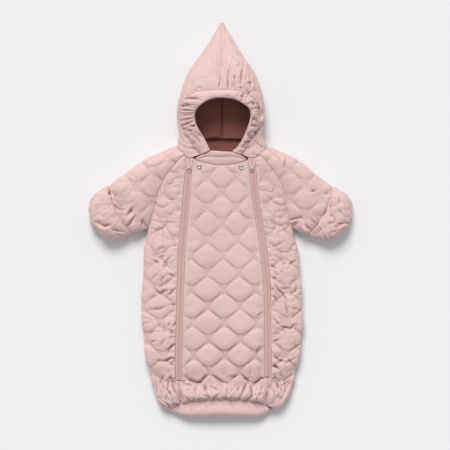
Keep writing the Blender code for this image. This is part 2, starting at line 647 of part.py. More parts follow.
def foot_strip():
    """The smooth strip that turns up under the foot end: fuller than a quarter round above its
    outermost line and a smaller quarter round below it."""
    rows, columns = 6, 23
    v, u = np.meshgrid(spread(rows), spread(columns), indexing="ij")
    low_x, high_x = FOOT_LINE[0].x, FOOT_LINE[-1].x
    x = low_x + (high_x - low_x) * (0.5 - 0.5 * np.cos(math.pi * u))
    table = np.array(FOOT_LINE)
    line_y = smooth(table[:, 0], table[:, 1], x)
    hem = on_front(x, np.full(x.shape, HEM))
    foot = back_surface(back_across(x, np.full(x.shape, HEM)), np.full(x.shape, HEM))
    line_z = foot[..., 2] + 0.42 * (hem[..., 2] - foot[..., 2])
    upper = np.clip(v / 0.6, 0.0, 1.0) * math.pi / 2
    lower = np.clip((v - 0.6) / 0.4, 0.0, 1.0) * math.pi / 2
    y = hem[..., 1] + (line_y - hem[..., 1]) * np.sin(upper)
    y = y + (foot[..., 1] - line_y) * (1 - np.cos(lower))
    full = np.clip(np.cos(upper), 0.0, 1.0) ** STRIP_FULLNESS
    z = line_z + (hem[..., 2] - line_z) * full - (line_z - foot[..., 2]) * np.sin(lower)
    points = np.stack([x, y, z], axis=-1)
    depth = 0.7 + 1.3 * ease(np.minimum(u, 1 - u) / 0.25)
    cloth_wall("foot_strip", points, np.zeros((rows, columns)), depth, (0, -380, 15), stride=2)


# ---------------------------------------------------------------- sleeves and mittens

def limb_section(row, v, bow):
    """A padded tube's section between its two silhouette points: domed above, flat on the floor.
    v runs from the upper point over the front to the lower point and back along the floor. The
    bow bends the section towards the hand."""
    turn = 2 * math.pi * v
    cosine = np.cos(turn)
    way = 0.5 - 0.5 * np.sign(cosine) * np.abs(cosine) ** 0.85
    sine = np.abs(np.sin(turn))
    domed = row[..., 4] + (row[..., 5] - row[..., 4]) * sine ** 0.9
    sunk = row[..., 4] * np.maximum(1 - sine / 0.75, 0.0) ** 2
    z = np.where(v <= 0.5, domed, sunk)
    bend = bow * 4 * way * (1 - way)
    x = row[..., 0] + (row[..., 2] - row[..., 0]) * way + np.sign(row[..., 0]) * bend * 0.9
    y = row[..., 1] + (row[..., 3] - row[..., 1]) * way - bend * 0.4
    return np.stack([x, y, z], axis=-1)


def limb_row(table, along):
    rows = np.array(table)
    return smooth(np.arange(len(rows)), rows, along * (len(rows) - 1))


def neck_seam(side, knot):
    points = np.array(NECK)
    points[-1] = RIM[0][:3] if side == LEFT else RIM[-1][:3]
    points[-1, 0] = abs(points[-1, 0])
    points[-2, 0] = abs(zip_x(side, 134.0))
    curve = smooth(np.arange(len(points)), points, knot)
    curve[..., 0] *= side
    curve[..., 2] = np.maximum(curve[..., 2], 0.0)
    return curve


def armhole(side, v):
    """The sleeve's seam with the bag and the neck: over the shoulder, down the front raglan to
    the underarm, and back up the back raglan."""
    front = np.array(RAGLAN_FRONT[side])[::-1]
    back = np.array(RAGLAN_BACK[side])
    neck_share, back_share = 0.1, 0.95
    knot = np.interp(v, [0.0, neck_share], [SHOULDER_KNOT, FRONT_RAGLAN_KNOT])
    over_shoulder = neck_seam(side, knot)
    y = np.interp(v, [neck_share, 0.5], [front[0, 1], front[-1, 1]])
    down_front = on_front(seam_x(front[::-1], y), y)
    y = np.interp(v, [0.5, back_share], [back[0, 1], back[-1, 1]])
    x = seam_x(back, y)
    up_back = back_surface(back_across(x, y), y)
    knot = np.interp(v, [back_share, 1.0], [BACK_RAGLAN_KNOT, SHOULDER_KNOT])
    to_shoulder = neck_seam(side, knot)
    pick = v[..., None]
    ring = np.where(pick < neck_share, over_shoulder, down_front)
    ring = np.where(pick > 0.5, up_back, ring)
    return np.where(pick > back_share, to_shoulder, ring)


def sleeve_surface(side, along, v):
    """Sections from the armhole to the mitten; the armhole's own shape fades out along the sleeve."""
    section = limb_section(limb_row(SLEEVE[side], along), v, CUFF_BOW * along ** 2)
    start = limb_section(limb_row(SLEEVE[side], along * 0), v, 0.0)
    offset = armhole(side, v) - start
    return section + offset * (1 - ease(along / 0.75))[..., None]


def sleeve(side):
    rows, columns = 12, 30
    along, v = np.meshgrid(spread(rows), spread(columns + 1)[:-1], indexing="ij")
    points = sleeve_surface(side, along, v)
    middle = points.mean(axis=(0, 1))
    fade = edge_fade(points, tube=True)
    shift_x, shift_y = SLEEVE_QUILT[side]
    puff = PUFF * ogee(points[..., 0] + shift_x, points[..., 1] + shift_y)
    relief = puff * fade * above_floor(points)
    name = "sleeve_left" if side == LEFT else "sleeve_right"
    cloth_wall(name, points, relief, padded_depth(fade) * 0.85, middle, tube=True)


def mitten(side):
    rows, columns = 9, 26
    along, v = np.meshgrid(spread(rows), spread(columns + 1)[:-1], indexing="ij")
    points = limb_section(limb_row(MITTEN[side], along), v, CUFF_BOW * (1 - along) ** 2)
    last = points[-1].mean(axis=0)
    pole = last + (last - points[-2].mean(axis=0)) * 0.15
    middle = points.mean(axis=(0, 1))
    fade = ease(np.arange(rows) / 1.6)[:, None] * np.ones(columns)
    near_tip = ease(np.arange(rows)[::-1] / 4.0)[:, None]
    relief = 2.0 * np.sin(v * 34.0 + 2.0 * along) ** 2 * fade * near_tip * above_floor(points)
    depth = SEAM_WALL + 2.0 * fade * near_tip
    name = "mitten_left" if side == LEFT else "mitten_right"
    cloth_wall(name, points, relief, depth, middle, tube=True, pole=pole)


# ---------------------------------------------------------------- hood

def rim_edge(knot):
    """The casing's sewn edge as a smooth curve through the table."""
    return smooth(np.arange(len(RIM)), np.array(RIM)[:, :3], knot)


def hood_lines(side, at):
    """Centre back, silhouette and front edge points at hood rows."""
    table = np.array(HOOD)
    stations = np.arange(len(table))
    zero = np.zeros(len(table))
    back = smooth(stations, np.stack([zero, table[:, 0], zero], axis=-1), at)
    flank_table = table[:, 1:4] * [side * HOOD_SIDE_SCALE[side], 1.0, 1.0]
    flank_table[-1, 0] = side * NECK[SHOULDER_KNOT].x
    flank = smooth(stations, flank_table, at)
    crest = np.stack([zero, table[:, 4], table[:, 5]], axis=-1)[:CORNER_ROW + 1]
    over = smooth(stations[:CORNER_ROW + 1], crest, np.minimum(at, CORNER_ROW))
    rim = rim_edge(RIM_TOP + side * np.maximum(at - CORNER_ROW, 0.0))
    front = np.where((at > CORNER_ROW)[..., None], rim, over)
    return back, flank, front


def hood_surface(side, down, v):
    """From the centre back along the floor, up round the silhouette and over to the front edge.
    The upper part is an elliptical arc, a shorter one where it has little width to turn in."""
    back, flank, front = hood_lines(side, down * (len(HOOD) - 1))
    low = np.clip(v / HOOD_SIDE_V, 0.0, 1.0)
    flat_share = 0.55
    roll = np.clip((low - flat_share) / (1 - flat_share), 0.0, 1.0) * math.pi / 2
    reach = np.abs(flank[..., 0])
    corner = np.minimum(flank[..., 2] * 1.25, reach * 0.6)
    x = (reach - corner) * np.minimum(low / flat_share, 1.0) + corner * np.sin(roll)
    share = (x / np.maximum(reach, 1e-6)) ** 2
    y = back[..., 1] + (flank[..., 1] - back[..., 1]) * share
    floor_part = np.stack([side * x, y, flank[..., 2] * (1 - np.cos(roll))], axis=-1)
    across = np.hypot(flank[..., 0] - front[..., 0], flank[..., 1] - front[..., 1])
    steep = np.clip(0.45 + 0.45 * across / (front[..., 2] - flank[..., 2]), 0.55, 1.0)
    end = steep * math.pi / 2
    rise = np.clip((v - HOOD_SIDE_V) / (1 - HOOD_SIDE_V), 0.0, 1.0) * end
    left_over = np.clip((np.cos(rise) - np.cos(end)) / (1 - np.cos(end)), 0.0, 1.0)
    inward = left_over ** (1.15 - 0.3 * steep)
    x = front[..., 0] + (flank[..., 0] - front[..., 0]) * inward
    y = flank[..., 1] + (front[..., 1] - flank[..., 1]) * (1 - left_over)
    z = flank[..., 2] + (front[..., 2] - flank[..., 2]) * np.sin(rise) / np.sin(end)
    raised_part = np.stack([x, y, z], axis=-1)
    return np.where((v <= HOOD_SIDE_V)[..., None], floor_part, raised_part)


def hood_to_neck(side, down, v):
    """The hood's surface, drawn onto the neck seam over its last rows."""
    knot = np.interp(v, [0.0, HOOD_SIDE_V, 1.0], [0, SHOULDER_KNOT, LAST_KNOT])
    offset = neck_seam(side, knot) - hood_surface(side, np.ones(down.shape), v)
    return hood_surface(side, down, v) + offset * ease((down - 0.84) / 0.16)[..., None]


def hood_grid(side):
    """A hood half's base points, normals and wall depth. A row lies on the front corner."""
    corner = CORNER_ROW / (len(HOOD) - 1)
    above = corner * spread(HOOD_ROWS_ABOVE + 1)[:-1] ** 0.92
    below = corner + (1 - corner) * spread(HOOD_ROWS_BELOW + 1)
    down, v = np.meshgrid(np.concatenate([above, below]), spread(HOOD_COLUMNS), indexing="ij")
    points = hood_to_neck(side, down, v)
    fade = edge_fade(points)
    from_tip = ease(np.arange(len(points)) / 4.0)[:, None]
    from_corner = ease(length_of(points - points[HOOD_ROWS_ABOVE, -1])[..., 0] / 40.0)
    depth = (1.0 + (SEAM_WALL - 1.0) * from_tip) + WADDING * 0.85 * fade * from_tip * from_corner
    return down, v, points, outward_normals(points, (0, 250, 35), False), depth, fade * from_tip


def hood_half(side):
    down, v, points, normals, depth, fade = hood_grid(side)
    row = np.arange(len(points))[:, None]
    near_casing = ease((v - 0.62) / 0.3) * ease((row - HOOD_ROWS_ABOVE + 3) / 3)
    pleats = near_casing * PLEAT_RISE * (1 + np.cos(math.pi * row))
    quilt = 0.6 * PUFF * ogee(230.0 * v, points[..., 1]) * (1 - 0.6 * near_casing)
    relief = (quilt + pleats) * fade * above_floor(points)
    name = "hood_left" if side == LEFT else "hood_right"
    cloth_wall(name, points, relief, depth, (0, 250, 35), stride=2)


def hood_lining(side):
    """The lining of the hood's hollow, seen through the face opening. It lies on every second
    point of the hood half's inside, moved in."""
    down, v, points, normals, depth, fade = hood_grid(side)
    inside = points - normals * (depth + LINING_GAP)[..., None]
    lining = inside[8::2, 0:-7:2]
    lining[-1] += (lining[-2] - lining[-1]) * 0.35
    wall = np.full(lining.shape[:2], LINING_WALL)
    name = "hood_lining_left" if side == LEFT else "hood_lining_right"
    cloth_wall(name, lining, np.zeros(wall.shape), wall, (0, 250, 35), "lining_cloth", stride=1)


CASING_GATHERS = 21
CASING_RISE = 1.2

# The casing's section: how far from the sewn edge to the inner edge, and how far out.
ProfilePoint = namedtuple("ProfilePoint", "way out")
CASING_PROFILE = [
    ProfilePoint(0.01, 0.0), ProfilePoint(0.14, 2.8), ProfilePoint(0.40, 5.2),
    ProfilePoint(0.72, 5.2), ProfilePoint(0.94, 2.4), ProfilePoint(1.0, -1.0),
    ProfilePoint(0.93, -4.4), ProfilePoint(0.55, -5.4), ProfilePoint(0.03, -2.4),
]


def hood_casing():
    """The gathered casing: its sewn edge follows the hood halves' own straight edges."""
    stations = 4 * CASING_GATHERS + 1
    place = spread(stations) * (len(RIM) - 1)
    knots = np.linspace(0, len(RIM) - 1, 2 * HOOD_ROWS_BELOW + 1)
    seam = rim_edge(knots)
    outer = np.stack([np.interp(place, knots, seam[:, axis]) for axis in range(3)], axis=-1)
    inner = smooth(np.arange(len(RIM)), np.array(RIM)[:, 3:], place)
    reach = inner - outer
    lie = np.gradient((outer + inner) / 2, axis=0)
    out = np.cross(reach, lie)
    out = out / length_of(out)
    out = np.where(out[:, 2:3] < 0, -out, out)
    wave = np.sin(np.arange(stations) * math.pi / 2)
    uneven = 0.75 + 0.25 * np.sin(np.arange(stations) * 0.7)
    ends = ease(np.minimum(np.arange(stations), np.arange(stations)[::-1]) / 4.0)
    start = outer + reach / length_of(reach) * SEAM_GAP * 1.4
    span = reach * (1 - SEAM_GAP * 1.4 / length_of(reach))
    sections = []
    for point in CASING_PROFILE:
        raised = point.out + CASING_RISE * wave * uneven * ends * (point.out > 1.0)
        sections.append(start + span * point.way + out * raised[:, None])
    closed_loft("hood_casing", np.stack(sections, axis=1), "quilted_cloth")


def collar():
    stations = 19
    profile = [ProfilePoint(0.0, -0.1), ProfilePoint(0.14, 1.6), ProfilePoint(0.42, 1.9),
               ProfilePoint(0.55, 1.2), ProfilePoint(0.75, 2.4), ProfilePoint(0.97, 1.4),
               ProfilePoint(0.97, -1.6), ProfilePoint(0.5, -2.6), ProfilePoint(0.02, -2.2)]
    rows = smooth(np.arange(len(COLLAR)), np.array(COLLAR), spread(stations) * (len(COLLAR) - 1))
    low_y = neckline(rows[:, 0])
    low = on_front(rows[:, 0], low_y) + [0.0, SEAM_GAP, 0.0]
    top = rows[:, 1:]
    reach = top - low
    lie = np.gradient((low + top) / 2, axis=0)
    out = np.cross(lie, reach)
    out = out / length_of(out)
    sections = np.stack([low + reach * place.way + out * place.out for place in profile], axis=1)
    closed_loft("collar", sections, "quilted_cloth")


# ---------------------------------------------------------------- zips, sliders, studs

def front_frame(x, station):
    """Point, direction along the bag, direction across and normal of the front at a place."""
    point = on_front(np.array(x), np.array(station))
    ahead = on_front(np.array(x), np.array(station + 1.0)) - point
    aside = on_front(np.array(x + 1.0), np.array(station)) - point
    normal = np.cross(aside, ahead)
    return point, normal / np.linalg.norm(normal)


def zip_tape(side):
    """The tape with its raised coil, carried along the zip's line."""
    stations = 20
    edge = ZIP_TAPE / 2 - SEAM_GAP
    coil = COIL_WIDTH / 2
    profile = [(-edge, 0.0), (-coil - 0.5, 0.0), (-coil + 0.3, COIL_RISE), (coil - 0.3, COIL_RISE),
               (coil + 0.5, 0.0), (edge, 0.0), (edge, -TAPE_WALL), (-edge, -TAPE_WALL)]
    sections = []
    for offset, rise in profile:
        top = min(neck_height(side, zip_x(side, ZIP_TOP) + offset) - 0.7, ZIP_TOP + 2.0)
        station = top + (zip_foot(side) + 0.5 - top) * spread(stations)
        x = zip_x(side, station) + offset
        here = on_front(x, station)
        beside = on_front(x + 0.5, station) - here
        ahead = on_front(x, station + 0.5) - here
        normal = np.cross(beside, ahead)
        normal = normal / length_of(normal)
        sections.append(here + normal * (rise - TAPE_DEPTH))
    name = "zip_left" if side == LEFT else "zip_right"
    closed_loft(name, np.stack(sections, axis=1), "zip_tape", 30.0)


def zip_place(side):
    """Matrix of the slider's top plate: local Y up the zip, local Z away from the bag."""
    x = float(zip_x(side, SLIDER_Y))
    point, normal = front_frame(x, SLIDER_Y)
    ahead = on_front(zip_x(side, np.array(SLIDER_Y + 4.0)), np.array(SLIDER_Y + 4.0)) - point
    z_axis = Vector(normal)
    y_axis = (Vector(ahead) - z_axis * Vector(ahead).dot(z_axis)).normalized()
    x_axis = y_axis.cross(z_axis)
    rise = COIL_RISE - TAPE_DEPTH + SEAM_GAP
    origin = Vector(point) + z_axis * rise + Vector((CENTRE_LINE_X, 0.0, 0.0))
    matrix = Matrix((x_axis, y_axis, z_axis)).transposed().to_4x4()
    matrix.translation = origin * MM
    return matrix


def link_object(piece, paint):
    for owner in list(piece.users_collection):
        owner.objects.unlink(piece)
    garment.objects.link(piece)
    piece.data.materials.clear()
    piece.data.materials.append(material(paint))


SLIDER_PLATE = 1.4


def slider(side):
    """A rounded plate over the coil with a wire bail, joined into one body."""
    name = "slider_left" if side == LEFT else "slider_right"
    bpy.ops.mesh.primitive_cube_add(size=1.0)
    plate = bpy.context.object
    plate.name = name
    plate.data.transform(Matrix.Diagonal((7.4 * MM, 10.0 * MM, SLIDER_PLATE * MM, 1.0)))
    plate.data.transform(Matrix.Translation((0.0, 0.0, SLIDER_PLATE * MM / 2)))
    round_edges = plate.modifiers.new("round_edges", "BEVEL")
    round_edges.width = 0.55 * MM
    round_edges.segments = 1
    bpy.ops.mesh.primitive_torus_add(major_radius=BAIL_RADIUS * MM, minor_radius=BAIL_WIRE * MM,
                                     major_segments=16, minor_segments=6, rotation=(0.0, math.pi / 2, 0.0))
    bail = bpy.context.object
    bail.name = name + "_bail_cutter"
    bpy.ops.object.transform_apply(rotation=True)
    bail.data.transform(Matrix.Translation((0.0, 0.0, (SLIDER_PLATE - 0.25) * MM)))
    bpy.ops.mesh.primitive_cube_add(size=1.0)
    below = bpy.context.object
    below.name = name + "_below_cutter"
    below.data.transform(Matrix.Diagonal((12.0 * MM, 12.0 * MM, 8.0 * MM, 1.0)))
    below.data.transform(Matrix.Translation((0.0, 0.0, (SLIDER_PLATE - 0.6 - 4.0) * MM)))
    half_bail = bail.modifiers.new("upper_half", "BOOLEAN")
    half_bail.operation = "DIFFERENCE"
    half_bail.object = below
    joined = plate.modifiers.new("bail", "BOOLEAN")
    joined.operation = "UNION"
    joined.object = bail
    place = zip_place(side)
    for piece in (plate, bail, below):
        piece.matrix_world = place
    link_object(plate, "painted_metal")
    for helper in (bail, below):
        for owner in list(helper.users_collection):
            owner.objects.unlink(helper)
        cutters.objects.link(helper)
        helper.hide_render = True
        helper.display_type = "WIRE"


def pull_pivot(side):
    """Matrix of the ring pull's pivot: local X is the axis it swings about."""
    lift = Matrix.Translation((0.0, 0.0, (SLIDER_PLATE - 0.25 + PIVOT_RISE) * MM))
    skew = Matrix.Rotation(math.radians(-side * PULL_SKEW), 4, "Z")
    return zip_place(side) @ lift @ skew


def pull_ring(side):
    """A ring threaded through the bail; it swings about the part of its wire under the bail."""
    name = "pull_left" if side == LEFT else "pull_right"
    bpy.ops.mesh.primitive_torus_add(major_radius=PULL_RING * MM, minor_radius=PULL_WIRE * MM,
                                     major_segments=18, minor_segments=6)
    ring = bpy.context.object
    ring.name = name
    ring.data.transform(Matrix.Translation((0.0, -PULL_RING * MM, 0.0)))
    ring.matrix_world = pull_pivot(side)
    link_object(ring, "steel")
    ring.data.shade_smooth()


STUD_PLACE = {LEFT: (-50.2, 115.0), RIGHT: (41.8, 113.6)}


def press_stud(side):
    """A turned cap with a raised rim and a shallow dish, pressed on the panel's corner."""
    x, station = STUD_PLACE[side]
    point, normal = front_frame(x, station)
    name = "stud_left" if side == LEFT else "stud_right"
    profile = [(0.0, STUD_RISE - 1.0), (0.40, STUD_RISE - 0.9), (0.62, STUD_RISE - 0.1),
               (0.80, STUD_RISE), (0.96, STUD_RISE - 0.7), (1.0, 0.9), (0.9, 0.0), (0.0, 0.0)]
    mesh = bpy.data.meshes.new(name)
    points = [(radius * STUD_RADIUS * MM, 0.0, height * MM) for radius, height in profile]
    mesh.from_pydata(points, [(i, i + 1) for i in range(len(points) - 1)], [])
    stud = bpy.data.objects.new(name, mesh)
    turn = stud.modifiers.new("turn", "SCREW")
    turn.steps = 18
    turn.render_steps = 18
    turn.use_merge_vertices = True
    turn.merge_threshold = 0.00002
    turn.use_normal_calculate = True
    z_axis = Vector(normal)
    x_axis = Vector((0.0, 1.0, 0.0)).cross(z_axis).normalized()
    matrix = Matrix((x_axis, z_axis.cross(x_axis), z_axis)).transposed().to_4x4()
    raised = Vector(point) + z_axis * (SEAM_GAP + 0.15) + Vector((CENTRE_LINE_X, 0.0, 0.0))
    matrix.translation = raised * MM
    stud.matrix_world = matrix
    garment.objects.link(stud)
    mesh.materials.append(material("steel"))


# ---------------------------------------------------------------- build

def new_collection(name):
    made = bpy.data.collections.new(name)
    bpy.context.scene.collection.children.link(made)
    return made


for leftover in list(bpy.data.objects):
    bpy.data.objects.remove(leftover, do_unlink=True)

garment = new_collection("baby_bunting_bag")
cutters = new_collection("cutters")

front_centre()
back_panel()
foot_strip()
hood_casing()
collar()
for hand in (LEFT, RIGHT):
    front_side(hand)
    sleeve(hand)
    mitten(hand)
    hood_half(hand)
    hood_lining(hand)
    zip_tape(hand)
    slider(hand)
    pull_ring(hand)
    press_stud(hand)
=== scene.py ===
"""Looks of a padded baby bunting bag that lies on its back on a pale floor.

Every cut piece of cloth is built again as a fine closed wall on the same surface as its
solid, with quilting, gathers and listed folds, and procedural materials."""
# %% [markdown]
# # A padded baby bunting bag
# The cloth pieces follow the part's own curves: each surface below takes two numbers, a
# place along the piece and a place across it, and gives a point in millimetres. The fine
# walls that are shown are grids of such points, moved out along the normal.

import math
from collections import namedtuple

import bpy
import numpy as np
from mathutils import Matrix, Vector


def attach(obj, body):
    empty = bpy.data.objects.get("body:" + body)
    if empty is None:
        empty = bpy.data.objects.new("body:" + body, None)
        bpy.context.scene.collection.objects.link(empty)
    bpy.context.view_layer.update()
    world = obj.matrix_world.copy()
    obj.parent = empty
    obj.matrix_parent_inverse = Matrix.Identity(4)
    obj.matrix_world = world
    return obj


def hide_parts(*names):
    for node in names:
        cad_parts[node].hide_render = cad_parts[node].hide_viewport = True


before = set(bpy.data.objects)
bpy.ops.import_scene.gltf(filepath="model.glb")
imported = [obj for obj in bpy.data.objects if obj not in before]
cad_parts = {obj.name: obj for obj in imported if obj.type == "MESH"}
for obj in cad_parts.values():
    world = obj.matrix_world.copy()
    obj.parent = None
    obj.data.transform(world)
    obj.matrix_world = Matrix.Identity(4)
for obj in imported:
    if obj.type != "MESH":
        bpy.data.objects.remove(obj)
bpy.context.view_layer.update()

# %% [markdown]
# ## Sizes and tables
# All in millimetres, from the bag's centre line, its mid length and the floor.

# %%
MM = 0.001
CENTRE_LINE_X = 3.0        # the bag's centre line lies this far right of the box's middle
SEAM_GAP = 0.32            # between two cut pieces at a seam
SQUARENESS = 2.6           # of the bag's cross-section: 2 is an ellipse

CELL_WIDTH = 70.0          # the quilting's ogee cells
CELL_MIDDLES = [-405.0, -334.8, -264.4, -192.0, -119.5, -46.4, 24.9, 91.1, 157.0]
CELL_HEIGHT = 66.0         # of the cells above the last of these middles on the centre line
CELL_LEAN = 6.0            # the lattice wanders this far to the right down the front
PUFF = 3.4                 # how far a cell's middle stands out

ZIP_TAPE = 15.0            # visible width of the tape
ZIP_TOP = 133.4
ZIP_FOOT = (-355.0, -348.0)    # left, right
COIL_WIDTH = 4.6
COIL_RISE = 1.5
TAPE_DEPTH = 1.0           # the tape lies this far below the panels' base surface
ZIP_END_RUN = 1.5          # the panels close to a seam over this length below a zip

GATHER_TOP = -346.0        # where the foot end's gathers begin
STRIP_FULLNESS = 0.5       # of the foot strip's section: 1 is round, less is fuller

SLIDER_Y = 111.5
PULL_RING = 4.0            # radius of the ring pull's centre line
PULL_WIRE = 0.9
BAIL_RADIUS = 3.0
BAIL_WIRE = 0.55
PIVOT_RISE = 1.2           # of the ring's wire above the slider's top plate
PULL_SKEW = 20.0           # degrees: the loose ring hangs a little towards the middle

STUD_RADIUS = 5.0

LEFT, RIGHT = -1, 1

# The bag's rows, from the foot seam up. front_y and back_y: the centre line; left and right:
# the side seam's point; crown: the front's height at the centre; seam: the side seam's height.
BodyRow = namedtuple("BodyRow", "front_y back_y left_x left_y right_x right_y crown seam")
BODY = [
    BodyRow(-398.6, -424.0, -118.8, -422.8, 110.0, -419.0, 28.0, 10.0),
    BodyRow(-391.0, -410.0, -130.2, -412.9, 128.0, -413.5, 31.0, 12.0),
    BodyRow(-382.0, -394.0, -141.0, -397.3, 142.0, -397.0, 34.0, 13.0),
    BodyRow(-367.0, -370.0, -151.8, -370.0, 153.0, -368.0, 38.0, 15.0),
    BodyRow(-341.0, -341.0, -157.7, -341.0, 160.5, -341.0, 42.0, 16.0),
    BodyRow(-311.0, -311.0, -165.0, -311.0, 167.0, -311.0, 44.0, 17.0),
    BodyRow(-260.0, -260.0, -171.6, -260.0, 175.0, -260.0, 46.0, 17.0),
    BodyRow(-187.0, -187.0, -177.0, -187.0, 175.5, -187.0, 46.0, 17.0),
    BodyRow(-135.0, -135.0, -173.8, -135.0, 171.6, -135.0, 46.0, 17.0),
    BodyRow(-95.0, -95.0, -171.6, -95.0, 169.4, -95.0, 46.0, 17.0),
    BodyRow(-55.0, -55.0, -169.4, -55.0, 163.5, -55.0, 46.0, 17.0),
    BodyRow(-21.0, -21.0, -161.0, -21.0, 154.0, -21.0, 46.0, 17.0),
    BodyRow(80.0, 80.0, -163.0, 80.0, 158.0, 80.0, 48.0, 17.0),
    BodyRow(172.0, 172.0, -163.0, 172.0, 158.0, 172.0, 50.0, 17.0),
]
UNDERARM = -21.0
FOOT_CURVE = -300.0        # the sides turn in towards the foot end below this
HEM = BODY[0].front_y
NECKLINE_DROP = 15.0       # how far the front neckline dips at the centre
NECKLINE_Y = 117.5
SIDE_TOP = 138.0           # the side fronts' upper edge near the zips
SIDE_ROLL = 24.0           # width of the back's rounded edge

# Raglan seams in plan, from the underarm up to the neck.
SeamPoint = namedtuple("SeamPoint", "x y")
RAGLAN_FRONT = {
    LEFT: [SeamPoint(-161.0, -21.0), SeamPoint(-155.1, 0.0), SeamPoint(-148.3, 26.0),
           SeamPoint(-140.8, 54.6), SeamPoint(-129.8, 81.0), SeamPoint(-116.6, 103.0),
           SeamPoint(-101.2, 121.7), SeamPoint(-82.7, 141.9)],
    RIGHT: [SeamPoint(154.0, -21.0), SeamPoint(147.4, 0.0), SeamPoint(143.0, 22.0),
            SeamPoint(137.5, 52.4), SeamPoint(129.0, 80.0), SeamPoint(113.0, 105.0),
            SeamPoint(98.0, 124.0), SeamPoint(82.7, 141.9)],
}
RAGLAN_BACK = {
    LEFT: [SeamPoint(-161.0, -21.0), SeamPoint(-156.0, 0.0), SeamPoint(-146.0, 33.0),
           SeamPoint(-132.0, 72.0), SeamPoint(-116.0, 108.0), SeamPoint(-101.0, 140.0),
           SeamPoint(-89.4, 164.0)],
    RIGHT: [SeamPoint(154.0, -21.0), SeamPoint(149.0, 0.0), SeamPoint(141.0, 33.0),
            SeamPoint(130.0, 72.0), SeamPoint(115.0, 108.0), SeamPoint(101.0, 140.0),
            SeamPoint(89.4, 164.0)],
}

# The neck seam of the left half, from the centre back over the shoulder to the zip and on
# to the hood's front corner. The shoulder, the raglan's top and the zip's top have names.
NeckPoint = namedtuple("NeckPoint", "x y z")
NECK = [
    NeckPoint(0.0, 169.0, 0.0), NeckPoint(45.0, 168.0, 0.0), NeckPoint(75.0, 166.5, 0.0),
    NeckPoint(91.0, 164.0, 0.0), NeckPoint(98.6, 160.0, 22.0), NeckPoint(95.0, 151.5, 38.0),
    NeckPoint(82.7, 141.9, 47.0), NeckPoint(71.5, 134.5, 48.5), NeckPoint(48.4, 141.0, 50.0),
]
BACK_RAGLAN_KNOT, SHOULDER_KNOT, FRONT_RAGLAN_KNOT, LAST_KNOT = 3, 4, 6, 8

CUFF_BOW = 9.0             # how far the mitten's seam bends towards the hand
SLEEVE_QUILT = {LEFT: (12.0, 20.0), RIGHT: (-8.0, 14.0)}    # the quilting's shift in plan

# Sleeve and mitten sections: the two silhouette points, and the heights of edge and crest.
LimbRow = namedtuple("LimbRow", "top_x top_y low_x low_y edge crest")
SLEEVE = {
    LEFT: [LimbRow(-98.6, 160.0, -161.0, -21.0, 20.0, 44.0),
           LimbRow(-140.8, 142.6, -166.0, -22.0, 20.0, 45.0),
           LimbRow(-171.6, 128.5, -175.0, -24.0, 20.0, 44.0),
           LimbRow(-202.4, 106.3, -185.0, -26.8, 19.0, 42.0),
           LimbRow(-228.8, 89.0, -193.6, -30.0, 18.0, 40.0),
           LimbRow(-248.6, 72.2, -200.2, -32.8, 17.0, 34.0)],
    RIGHT: [LimbRow(98.6, 160.0, 154.0, -21.0, 20.0, 44.0),
            LimbRow(140.8, 141.5, 160.6, -22.5, 20.0, 45.0),
            LimbRow(171.6, 126.1, 169.4, -26.0, 20.0, 44.0),
            LimbRow(198.0, 104.1, 177.1, -28.6, 19.0, 42.0),
            LimbRow(221.0, 86.5, 184.8, -31.2, 18.0, 40.0),
            LimbRow(244.2, 70.0, 191.4, -33.4, 17.0, 34.0)],
}
MITTEN = {
    LEFT: [LimbRow(-248.6, 72.2, -200.2, -32.8, 17.0, 34.0),
           LimbRow(-258.5, 67.1, -214.5, -41.5, 19.0, 41.0),
           LimbRow(-269.5, 61.0, -233.2, -45.8, 20.0, 45.0),
           LimbRow(-279.4, 53.0, -251.9, -41.5, 20.0, 45.0),
           LimbRow(-286.4, 43.5, -266.2, -33.9, 19.0, 41.0),
           LimbRow(-290.6, 32.0, -278.2, -22.5, 17.0, 35.0),
           LimbRow(-292.4, 21.5, -286.4, -9.0, 16.0, 27.0),
           LimbRow(-292.9, 12.5, -290.8, 1.5, 15.0, 19.0)],
    RIGHT: [LimbRow(244.2, 70.0, 191.4, -33.4, 17.0, 34.0),
            LimbRow(254.1, 64.0, 206.8, -40.5, 19.0, 41.0),
            LimbRow(264.0, 57.3, 224.4, -45.3, 20.0, 45.0),
            LimbRow(273.9, 48.1, 242.0, -44.5, 20.0, 45.0),
            LimbRow(281.2, 37.1, 257.4, -36.7, 19.0, 41.0),
            LimbRow(285.4, 25.5, 271.7, -23.5, 17.0, 35.0),
            LimbRow(286.6, 15.0, 280.6, -9.2, 16.0, 27.0),
            LimbRow(287.0, 7.5, 285.0, -1.0, 15.0, 19.0)],
}

